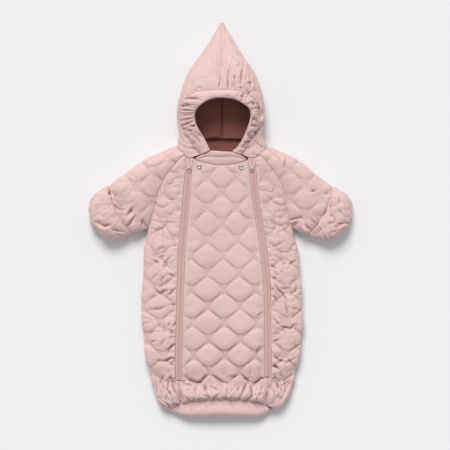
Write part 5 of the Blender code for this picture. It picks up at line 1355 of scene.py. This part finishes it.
def foot_strip():
    v, u = np.meshgrid(lines(48), lines(236), indexing="ij")
    low_x, high_x = FOOT_LINE[0].x, FOOT_LINE[-1].x
    x = low_x + (high_x - low_x) * (0.5 - 0.5 * np.cos(math.pi * u))
    table = np.array(FOOT_LINE)
    line_y = smooth(table[:, 0], table[:, 1], x)
    hem = on_front(x, np.full(x.shape, HEM))
    foot = back_surface(back_across(x, np.full(x.shape, HEM)), np.full(x.shape, HEM))
    line_z = foot[..., 2] + 0.42 * (hem[..., 2] - foot[..., 2])
    upper = np.clip(v / 0.6, 0.0, 1.0) * math.pi / 2
    lower = np.clip((v - 0.6) / 0.4, 0.0, 1.0) * math.pi / 2
    y = hem[..., 1] + (line_y - hem[..., 1]) * np.sin(upper)
    y = y + (foot[..., 1] - line_y) * (1 - np.cos(lower))
    full = np.clip(np.cos(upper), 0.0, 1.0) ** STRIP_FULLNESS
    z = line_z + (hem[..., 2] - line_z) * full - (line_z - foot[..., 2]) * np.sin(lower)
    points = np.stack([x, y, z], axis=-1)
    runs = edge_runs(points)
    edge = np.minimum.reduce(runs)
    near_hem = np.exp(-(runs[0] / 9.0) ** 2)
    relief = 0.8 * (pleat(x / 9.0 + 0.5 * bumps(x, y, 18.0, 52)) - 0.4) * near_hem
    relief += 0.8 * bumps(x, y, 26.0, 53) + fold_relief(points, FOLDS["foot_strip"])
    relief += 6.5 * np.exp(-((runs[0] - 26.0) / 13.0) ** 2)
    relief = relief * puff_near(edge) * above_floor(points) + seam_dip(edge) * 0.7
    place = np.stack([x, runs[0]], axis=-1)
    return shell("cloth_foot_strip", points, relief, (0, -380, 15), place, np.full(x.shape, 99.0),
                 QUILTED, wall=0.9)


finish_cloth(back_panel(), "back")
finish_cloth(foot_strip(), "foot_strip")

# %% [markdown]
# ## Sleeves and mittens
# A sleeve is a tube from the raglan seam to the mitten's seam. Its quilting is laid out in
# plan. The mittens are plain and crumpled, with puckers along their seam.

# %%
def sleeve(side, name):
    along, v = np.meshgrid(lines(125), spread(209)[:-1], indexing="ij")
    points = sleeve_surface(side, along, v)
    runs = edge_runs(points)
    edge = np.minimum(runs[0], runs[1])
    shift_x, shift_y = SLEEVE_QUILT[side]
    x = points[..., 0] + shift_x
    y = points[..., 1] + shift_y
    height = quilting(x, y, 81 + side)
    height += 1.6 * (pleat(v * 30.0 + 0.6 * crumple(points, 22.0, 82)) - 0.4) * np.exp(-(runs[1] / 15.0) ** 2)
    height += 0.9 * crumple(points, 33.0, 83) + 0.4 * crumple(points, 14.0, 84)
    near_cuff = 0.25 + 0.75 * ease((along - 0.35) / 0.5)
    height += 4.2 * near_cuff * (np.abs(crumple(points, 24.0, 86 + side)) ** 0.7 - 0.3)
    height += 2.2 * near_cuff * creases(x + points[..., 2], y, 21.0, 89 + side)
    facing = 0.35 + 0.65 * np.abs(grid_normals(points, True)[..., 2])
    relief = height * facing * puff_near(edge) * above_floor(points) + seam_dip(edge)
    relief += 1.4 * fold_relief(points, FOLDS[name]) * (v < 0.5)
    place = np.stack([v * 300.0, along * 125.0], axis=-1)
    return shell("cloth_" + name, points, relief, points.mean(axis=(0, 1)), place,
                 stitch_distance(x, y), QUILTED, tube=True)


def mitten(side, name):
    along, v = np.meshgrid(lines(118), spread(161)[:-1], indexing="ij")
    points = limb_section(limb_row(MITTEN[side], along), v, CUFF_BOW * (1 - along) ** 2)
    last = points[-1].mean(axis=0)
    pole = last + (last - points[-4].mean(axis=0)) * 0.15
    runs = edge_runs(points)
    near_tip = ease(runs[1] / 14.0)
    height = 1.5 * (pleat(v * 34.0 + 0.8 * crumple(points, 20.0, 92)) - 0.4) * np.exp(-(runs[0] / 13.0) ** 2)
    height += 1.2 * crumple(points, 26.0, 93 + side) + 0.6 * crumple(points, 12.0, 96 + side)
    height += 4.4 * np.abs(crumple(points, 29.0, 99 + side)) ** 0.7
    height += 1.8 * np.abs(crumple(points, 13.0, 90 + side)) ** 0.7 - 0.4
    height += 2.4 * creases(points[..., 0] + points[..., 2], points[..., 1], 19.0, 94 + side)
    relief = height * puff_near(runs[0]) * near_tip * above_floor(points) + seam_dip(runs[0])
    relief += 1.5 * fold_relief(points, FOLDS[name]) * (v < 0.5) * near_tip
    place = np.stack([v * 220.0, along * 118.0], axis=-1)
    return shell("cloth_" + name, points, relief, points.mean(axis=(0, 1)), place,
                 np.full(v.shape, 99.0), QUILTED, tube=True, pole=pole)


for hand, ending in ((LEFT, "left"), (RIGHT, "right")):
    finish_cloth(sleeve(hand, "sleeve_" + ending), "sleeve_" + ending)
    finish_cloth(mitten(hand, "mitten_" + ending), "mitten_" + ending)

# %% [markdown]
# ## Hood
# Each half runs from the centre back round the silhouette to the centre seam and the casing.
# Gathers start at the casing and die out into the hood at uneven distances.

# %%
HOOD_QUILT = {LEFT: 0.22, RIGHT: 0.4}
# How high the gathers along the casing stand and how even they are, at knots of the RIM table:
# almost flat over the forehead, even at the left cheek, and lumps on the right.
GatherRow = namedtuple("GatherRow", "knot height even")
CASING_GATHERS = [
    GatherRow(0.0, 1.0, 0.0), GatherRow(1.6, 2.0, 0.1), GatherRow(2.8, 2.4, 0.5),
    GatherRow(4.2, 2.6, 1.0), GatherRow(5.2, 1.4, 0.7), GatherRow(6.5, 0.4, 0.2),
    GatherRow(9.0, 0.5, 0.1), GatherRow(10.5, 2.4, 0.1), GatherRow(12.2, 5.0, 0.1),
    GatherRow(14.0, 6.0, 0.1), GatherRow(16.0, 5.0, 0.0), GatherRow(18.0, 1.6, 0.0),
]
HOOD_CORNER = CORNER_ROW / (len(HOOD) - 1)
RIM_KNOTS = spread(400) * (len(RIM) - 1)
RIM_RUN = np.concatenate([[0.0], np.cumsum(length_of(np.diff(rim_edge(RIM_KNOTS), axis=0))[:, 0])])


def casing_gathers(knot, away):
    """Gathers' height along the casing's seam, `away` mm from it: above 0 into the hood, below
    0 over the casing. The same waves run on across the seam."""
    heights = np.array(CASING_GATHERS)
    high = np.interp(knot, heights[:, 0], heights[:, 1])
    run = np.interp(knot, RIM_KNOTS, RIM_RUN)
    even = np.interp(knot, heights[:, 0], heights[:, 2])
    bent = run + 3.0 * bumps(run, away * 0.6, 23.0, 103)
    waves = pleat(bent / 8.6 + 0.45 * bumps(run * 0.7, away * 0.5, 19.0, 104)) - 0.4
    lumps = np.abs(bumps(run, away * 0.6, 19.0, 105)) ** 0.7 - 0.35
    lumps += 0.5 * np.abs(bumps(run, away * 0.8, 9.0, 106)) ** 0.7 - 0.18
    return high * (even * waves + (1.5 - even) * lumps)


def hood_base(side, down, v):
    points = hood_to_neck(side, down, v)
    return points, outward(points, (0, 250, 35))


def hood_half(side, name):
    rows = np.concatenate([HOOD_CORNER * lines(150), HOOD_CORNER + (1 - HOOD_CORNER) * lines(215)[1:]])
    down, v = np.meshgrid(rows, lines(290), indexing="ij")
    points = hood_to_neck(side, down, v)
    tip = (points[0, 0] + points[0, -1]) / 2
    points[0] = tip + 0.15 * (points[0] - tip)
    runs = edge_runs(points)
    edge = np.minimum.reduce(runs[:3] + [runs[3] + 2.5])
    knot = RIM_TOP + side * np.maximum(down * (len(HOOD) - 1) - CORNER_ROW, 0.0)
    rim_run = np.interp(knot, RIM_KNOTS, RIM_RUN)
    reach = 24.0 + 11.0 * bumps(rim_run, v * 0, 13.0, 101 + side)
    beside_rim = np.exp(-(runs[3] / reach) ** 2) * ease((down - HOOD_CORNER + 0.02) / 0.05)
    quilt_x, quilt_y = 230.0 * v, points[..., 1]
    height = HOOD_QUILT[side] * quilting(quilt_x, quilt_y, 111 + side) * (1 - 0.7 * beside_rim)
    height += 1.1 * casing_gathers(knot, runs[3]) * beside_rim
    height += 0.9 * crumple(points, 36.0, 115 + side) + 0.45 * crumple(points, 15.0, 117 + side)
    from_tip = ease(runs[0] / 26.0)
    relief = height * puff_near(edge) * from_tip * above_floor(points) + seam_dip(edge) * from_tip
    relief += fold_relief(points, FOLDS[name]) * (v > 0.5)
    drawn = (1.4 if side == RIGHT else 0.5) * ease((edge - 2.0) / 8.0) * from_tip
    relief += drawn * creases(1.5 * points[..., 0], 0.6 * points[..., 1], 21.0, 119 + side)
    merged = ease((knot - RIM_TOP - 2.0) / 2.0)
    relief += 2.6 * merged * np.exp(-(runs[3] / 13.0) ** 2) * from_tip * ease((down - HOOD_CORNER) / 0.1)
    place = np.stack([quilt_x, quilt_y], axis=-1)
    stitch = stitch_distance(quilt_x, quilt_y)
    wall = 1.9
    return shell("cloth_" + name, points, relief, (0, 250, 35), place, stitch, QUILTED, wall=wall)


def hood_lining(side, name):
    """The lining lies inside the hood half, about 9 mm in from its outer surface."""
    low, high = 0.78 * HOOD_CORNER, 0.975
    down, v = np.meshgrid(low + (high - low) * lines(190, 3.0), 0.7 * lines(200, 3.0), indexing="ij")
    points, normals = hood_base(side, down, v)
    from_tip = ease((down - 0.2) / 0.15)
    lining = points - normals * (7.5 + 1.0 * from_tip)[..., None]
    x, y = lining[..., 0], lining[..., 1]
    relief = 1.2 * crumple(lining, 30.0, 131 + side) + 0.4 * crumple(lining, 12.0, 133 + side)
    relief += 4.5 * np.abs(bumps(x + 0.06 * y, 0.22 * y, 15.0, 135 + side)) ** 0.8
    edge = np.minimum.reduce(edge_runs(lining))
    relief = -np.abs(relief) * ease(edge / 9.0)
    place = np.stack([230.0 * v, points[..., 1]], axis=-1)
    return shell("cloth_" + name, lining, relief, (0, 250, 35), place, np.full(v.shape, 99.0),
                 LINING, wall=1.2)


for hand, ending in ((LEFT, "left"), (RIGHT, "right")):
    finish_cloth(hood_half(hand, "hood_" + ending), "hood_" + ending)
    finish_cloth(hood_lining(hand, "hood_lining_" + ending), "hood_lining_" + ending)

# %% [markdown]
# ## Casing and collar
# Both are closed sections carried along the edge. The casing's gathers are given for each
# part of its run: how high they stand and how even they are.

# %%
CASING_PROFILE = [(0.01, 0.0), (0.14, 2.8), (0.40, 5.2), (0.72, 5.2), (0.94, 2.4), (1.0, -1.0),
                  (0.93, -4.4), (0.55, -5.4), (0.03, -2.4)]
COLLAR_PROFILE = [(0.0, -0.1), (0.14, 1.6), (0.42, 1.9), (0.55, 1.2), (0.75, 2.4), (0.97, 1.4),
                  (0.97, -1.6), (0.5, -2.6), (0.02, -2.2)]


def round_profile(profile, count):
    """A closed profile's corners joined by a smooth curve of `count` points."""
    table = np.array(profile)
    wrapped = np.concatenate([table[-2:], table, table[:3]])
    at = np.arange(count) * len(table) / count
    return smooth(np.arange(-2, len(table) + 3), wrapped, at)


def loft(name, sections, raised, place, paint):
    """A tube through closed sections, with a flat fan over each end. `raised` is the height of
    the folds and gathers in them."""
    rows, columns = sections.shape[:2]
    ids = np.arange(rows * columns).reshape(rows, columns)
    vertices = np.concatenate([sections.reshape(-1, 3), [sections[0].mean(axis=0), sections[-1].mean(axis=0)]])
    first, last = rows * columns, rows * columns + 1
    start = np.stack([ids[0], np.roll(ids[0], -1), np.full(columns, first)], axis=1)
    end = np.stack([np.roll(ids[-1], -1), ids[-1], np.full(columns, last)], axis=1)
    flat = place.reshape(-1, 2) * MM
    cloth = np.concatenate([flat, flat[:1], flat[-1:]])
    cloth = np.concatenate([cloth, cloth[:, :1] * 0], axis=1)
    valley = np.concatenate([valleys(raised).reshape(-1), [0.0, 0.0]])
    return add_mesh(name, vertices, np.concatenate([quads(ids, True), start, end]),
                    {"cloth": cloth, "stitch": np.full(len(vertices), 99.0),
                     "lined": np.zeros(len(vertices)), "valley": valley}, paint)


def hood_casing():
    stations = 421
    at = spread(stations) * (len(RIM) - 1)
    outer = rim_edge(at)
    inner = smooth(np.arange(len(RIM)), np.array(RIM)[:, 3:], at)
    reach = inner - outer
    lie = np.gradient((outer + inner) / 2, axis=0)
    out = np.cross(reach, lie)
    out = out / length_of(out)
    out = np.where(out[:, 2:3] < 0, -out, out)
    steps = length_of(np.diff(outer, axis=0))[:, 0]
    run = np.concatenate([[0.0], np.cumsum(steps)])
    ends = ease(np.minimum(run, run[-1] - run) / 9.0)
    profile = round_profile(CASING_PROFILE, 36)
    way, rise = profile[:, 0][None, :], profile[:, 1][None, :]
    away = -way * length_of(reach)
    fine = bumps(run[:, None] + 0 * away, away + rise, 9.0, 143)
    raised = (casing_gathers(at[:, None] + 0 * away, away) + 0.45 * fine) * ends[:, None]
    raised = raised * np.clip(rise + 1.5, 0.0, 2.0) / 2
    start = outer + reach / length_of(reach) * SEAM_GAP * 1.4
    wider = 1 + 0.25 * np.exp(-((at - 5.4) / 1.4) ** 2) - 0.1 * np.exp(-((at - 13.0) / 0.8) ** 2)
    span = reach * (wider[:, None] - SEAM_GAP * 1.4 / length_of(reach))
    rise = rise * (1 - 0.45 * np.exp(-((at - 14.5) / 3.0) ** 2))[:, None]
    flat = start[:, None] + span[:, None] * way[..., None] + out[:, None] * rise[..., None]
    raised += 1.2 * fold_relief(flat, FOLDS["hood_casing"]) * np.clip(rise, 0.0, 2.0) / 2
    sections = flat + out[:, None] * raised[..., None]
    place = np.stack([run[:, None] + 0 * way, 60.0 * spread(36)[None, :] + 0 * run[:, None]], axis=-1)
    return loft("cloth_hood_casing", sections, raised, place, QUILTED)


def collar():
    stations = 141
    rows = smooth(np.arange(len(COLLAR)), np.array(COLLAR), spread(stations) * (len(COLLAR) - 1))
    low = on_front(rows[:, 0], neckline(rows[:, 0])) + [0.0, SEAM_GAP, 0.0]
    reach = rows[:, 1:] - low
    lie = np.gradient((low + rows[:, 1:]) / 2, axis=0)
    out = np.cross(lie, reach)
    out = out / length_of(out)
    profile = round_profile(COLLAR_PROFILE, 32)
    way, rise = profile[:, 0][None, :], profile[:, 1][None, :]
    run = rows[:, 0]
    fold = -1.0 * np.exp(-((way - 0.62 - 0.08 * np.sin(run / 17.0)[:, None]) / 0.10) ** 2) * (rise > 0)
    raised = fold + 0.35 * bumps(run[:, None] + 0 * way, way * 30.0, 13.0, 151)
    sections = low[:, None] + reach[:, None] * way[..., None] + out[:, None] * (rise + raised)[..., None]
    place = np.stack([run[:, None] + 0 * way, 40.0 * spread(32)[None, :] + 0 * run[:, None]], axis=-1)
    return loft("cloth_collar", sections, raised, place, QUILTED)


finish_cloth(hood_casing(), "hood_casing")
finish_cloth(collar(), "collar")

# %% [markdown]
# ## Zips
# The tape carries two rows of coil teeth, 1.7 mm apart and half a step out of phase, and a
# sewn line along each side.

# %%
TOOTH = 1.7


def zip_tape(side, name):
    edge = ZIP_TAPE / 2 - SEAM_GAP
    coil = COIL_WIDTH / 2
    flank = np.array([-edge, -6.4, -5.4, -4.2, -3.2])
    offsets = np.concatenate([flank, np.linspace(-coil - 0.3, coil + 0.3, 15), -flank[::-1]])
    down = np.linspace(0.0, 1.0, 4 * 212 + 1)
    top = np.minimum(neck_height(side, zip_x(side, ZIP_TOP) + offsets) - 0.7, ZIP_TOP + 2.0)
    station = top + (zip_foot(side) + 0.5 - top) * down[:, None]
    points = on_front(zip_x(side, station) + offsets, station)
    half = ease((coil + 0.25 - np.abs(offsets)) / 0.8) * (1 - 0.75 * np.exp(-(offsets / 0.35) ** 2))
    phase = np.where(offsets < 0, 0.0, 0.5)
    teeth = np.abs(np.sin(math.pi * (station / TOOTH + phase)))
    relief = COIL_RISE * half * (0.62 + 0.38 * teeth) - 0.3 * TAPE_DEPTH
    relief -= 0.45 * np.exp(-((np.abs(offsets) - 2.9) / 0.6) ** 2)
    relief -= 0.15 * np.exp(-((np.abs(offsets) - 5.4) / 0.5) ** 2)
    place = np.stack([offsets + 0 * station, station], axis=-1)
    stitch = np.abs(np.abs(offsets) + 0 * station - 2.7) + 0.45
    return shell("cloth_" + name, points, relief, (0, -100, -500), place, stitch, TAPE, wall=0.5)


for hand, ending in ((LEFT, "left"), (RIGHT, "right")):
    finish_cloth(zip_tape(hand, "zip_" + ending), "zip_" + ending)

# %% [markdown]
# ## Sliders, ring pulls and studs
# Turned and rounded metal, in the places of their solids. The rings ride on their own bodies.

# %%
def lathe(name, profile, steps, paint):
    """A solid of revolution about Z: (radius, height) pairs in mm, each on the axis at both ends."""
    table = np.array(profile)
    angle = 2 * math.pi * np.arange(steps) / steps
    ring = table[1:-1]
    x = ring[:, :1] * np.cos(angle)
    y = ring[:, :1] * np.sin(angle)
    z = ring[:, 1:] + 0 * angle
    grid = np.stack([x, y, z], axis=-1)
    ids = np.arange(len(ring) * steps).reshape(len(ring), steps)
    vertices = np.concatenate([grid.reshape(-1, 3), [[0, 0, table[0, 1]], [0, 0, table[-1, 1]]]])
    top, bottom = len(vertices) - 2, len(vertices) - 1
    first = np.stack([ids[0], np.roll(ids[0], -1), np.full(steps, top)], axis=1)
    last = np.stack([np.roll(ids[-1], -1), ids[-1], np.full(steps, bottom)], axis=1)
    return vertices, np.concatenate([quads(ids, True), first, last])


def torus(major, minor, steps, sides, share=1.0):
    """A ring's tube about X through the origin; a share under 1 leaves its upper part only,
    with closed ends."""
    turn = 2 * math.pi * np.arange(sides) / sides
    sweep = 2 * math.pi * np.arange(steps) / steps if share == 1.0 else np.linspace(0, math.pi, steps)
    radius = major + minor * np.cos(turn)[None, :]
    y = radius * np.cos(sweep)[:, None]
    z = radius * np.sin(sweep)[:, None]
    x = minor * np.sin(turn)[None, :] + 0 * y
    grid = np.stack([x, y, z], axis=-1)
    ids = np.arange(steps * sides).reshape(steps, sides)
    if share == 1.0:
        return grid.reshape(-1, 3), quads(np.concatenate([ids, ids[:1]]), True)
    vertices = np.concatenate([grid.reshape(-1, 3), [grid[0].mean(axis=0), grid[-1].mean(axis=0)]])
    start = np.stack([ids[0], np.roll(ids[0], -1), np.full(sides, len(vertices) - 2)], axis=1)
    end = np.stack([np.roll(ids[-1], -1), ids[-1], np.full(sides, len(vertices) - 1)], axis=1)
    return vertices, np.concatenate([quads(ids, True), start, end])


def rounded_plate(width, length, height):
    """A closed cushion-edged plate: superellipse outlines stacked in height."""
    turn = 2 * math.pi * np.arange(48) / 48
    levels = np.array([(0.88, 0.0), (1.0, 0.25), (1.0, 0.75), (0.86, 1.0)])
    cosine, sine = np.cos(turn), np.sin(turn)
    x = np.sign(cosine) * np.abs(cosine) ** 0.45 * width / 2
    y = np.sign(sine) * np.abs(sine) ** 0.45 * length / 2
    grid = np.stack([levels[:, :1] * x, levels[:, :1] * y, levels[:, 1:] * height + 0 * x], axis=-1)
    ids = np.arange(grid.shape[0] * 48).reshape(-1, 48)
    vertices = np.concatenate([grid.reshape(-1, 3), [[0, 0, 0], [0, 0, height]]])
    bottom = np.stack([ids[0], np.roll(ids[0], -1), np.full(48, len(vertices) - 2)], axis=1)
    top = np.stack([np.roll(ids[-1], -1), ids[-1], np.full(48, len(vertices) - 1)], axis=1)
    return vertices, np.concatenate([quads(ids, True), bottom, top])


def metal_piece(name, parts, place, paint):
    """Closed metal parts in one mesh, set at a place given as a matrix in metres."""
    vertices, triangles, count = [], [], 0
    turn = np.array(place.to_3x3())
    shift = np.array(place.translation) / MM - [CENTRE_LINE_X, 0.0, 0.0]
    for part_vertices, part_triangles in parts:
        corners = part_vertices[part_triangles]
        volume = np.sum(corners[:, 0] * np.cross(corners[:, 1], corners[:, 2]))
        if volume < 0:
            part_triangles = part_triangles[:, ::-1]
        vertices.append(part_vertices @ turn.T + shift)
        triangles.append(part_triangles + count)
        count += len(part_vertices)
    vertices = np.concatenate(vertices)
    return add_mesh(name, vertices, np.concatenate(triangles), {}, paint)


STUD_PROFILE = [(0.0, 0.9), (1.5, 0.95), (2.3, 1.2), (2.9, 2.2), (3.5, 2.62), (4.0, 2.6), (4.5, 2.35),
                (4.8, 1.9), (5.0, 1.3), (4.95, 0.7), (4.6, 0.15), (4.2, 0.0), (0.0, 0.0)]


def stud_place(side):
    point, normal = front_frame(*STUD_PLACE[side])
    z_axis = Vector(normal)
    x_axis = Vector((0.0, 1.0, 0.0)).cross(z_axis).normalized()
    matrix = Matrix((x_axis, z_axis.cross(x_axis), z_axis)).transposed().to_4x4()
    raised = Vector(point) + z_axis * (SEAM_GAP + 0.15) + Vector((CENTRE_LINE_X, 0.0, 0.0))
    matrix.translation = raised * MM
    return matrix


for hand, ending in ((LEFT, "left"), (RIGHT, "right")):
    plate = rounded_plate(7.4, 10.0, SLIDER_PLATE)
    wire, faces = torus(BAIL_RADIUS, BAIL_WIRE, 28, 14, 0.5)
    bail = (wire + [0.0, 0.0, SLIDER_PLATE - 0.25], faces)
    slider = metal_piece("metal_slider_" + ending, [plate, bail], zip_place(hand), PAINTED)
    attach(slider, "garment")
    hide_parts("slider_" + ending)
    wire, faces = torus(PULL_RING, PULL_WIRE, 72, 20)
    flat = wire[:, [2, 1, 0]] - [0.0, PULL_RING, 0.0]
    pull = metal_piece("metal_pull_" + ending, [(flat, faces)], pull_pivot(hand), STEEL)
    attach(pull, "pull_" + ending)
    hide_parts("pull_" + ending)
    stud = metal_piece("metal_stud_" + ending, [lathe("stud", STUD_PROFILE, 64, STEEL)], stud_place(hand), STEEL)
    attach(stud, "garment")
    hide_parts("stud_" + ending)

# %% [markdown]
# ## Camera, floor and light
# The camera looks straight down. A distant soft light shines from beyond the hood, a little
# from the left, and a pale world fills the shade.

# %%
FRAME_WIDTH = 0.99
CAMERA_HEIGHT = 6.03


def aim(thing, target):
    direction = Vector(target) - thing.location
    thing.rotation_euler = direction.to_track_quat("-Z", "Y").to_euler()


camera_data = bpy.data.cameras.new("camera")
camera_data.sensor_width = 36.0
camera_data.lens = 36.0 * (CAMERA_HEIGHT - 0.03) / FRAME_WIDTH
camera_data.clip_end = 20.0
camera = bpy.data.objects.new("camera", camera_data)
camera.location = (0.0096, -0.0136, CAMERA_HEIGHT)
bpy.context.scene.collection.objects.link(camera)
bpy.context.scene.camera = camera

floor_mesh = bpy.data.meshes.new("floor")
floor_mesh.from_pydata([(-4, -4, 0), (4, -4, 0), (4, 4, 0), (-4, 4, 0)], [], [(0, 1, 2, 3)])
floor = bpy.data.objects.new("floor", floor_mesh)
floor.location.z = -0.0002
floor_paint = bpy.data.materials.new("floor")
floor_paint.use_nodes = True
floor_shader = floor_paint.node_tree.nodes["Principled BSDF"]
floor_shader.inputs["Base Color"].default_value = (0.84, 0.845, 0.85, 1.0)
floor_shader.inputs["Roughness"].default_value = 0.9
floor_mesh.materials.append(floor_paint)
bpy.context.scene.collection.objects.link(floor)


key_data = bpy.data.lights.new("key", "SUN")
key_data.energy = 2.5
key_data.angle = math.radians(28)
key_data.color = (1.0, 0.99, 0.975)
key = bpy.data.objects.new("key", key_data)
key.location = (-0.35, 1.9, 2.05)
bpy.context.scene.collection.objects.link(key)
aim(key, (0.0, 0.0, 0.0))
world = bpy.data.worlds.new("world")
world.use_nodes = True
world.node_tree.nodes["Background"].inputs["Color"].default_value = (0.95, 0.97, 1.0, 1.0)
world.node_tree.nodes["Background"].inputs["Strength"].default_value = 0.47
bpy.context.scene.world = world
bpy.context.scene.view_settings.view_transform = "Standard"
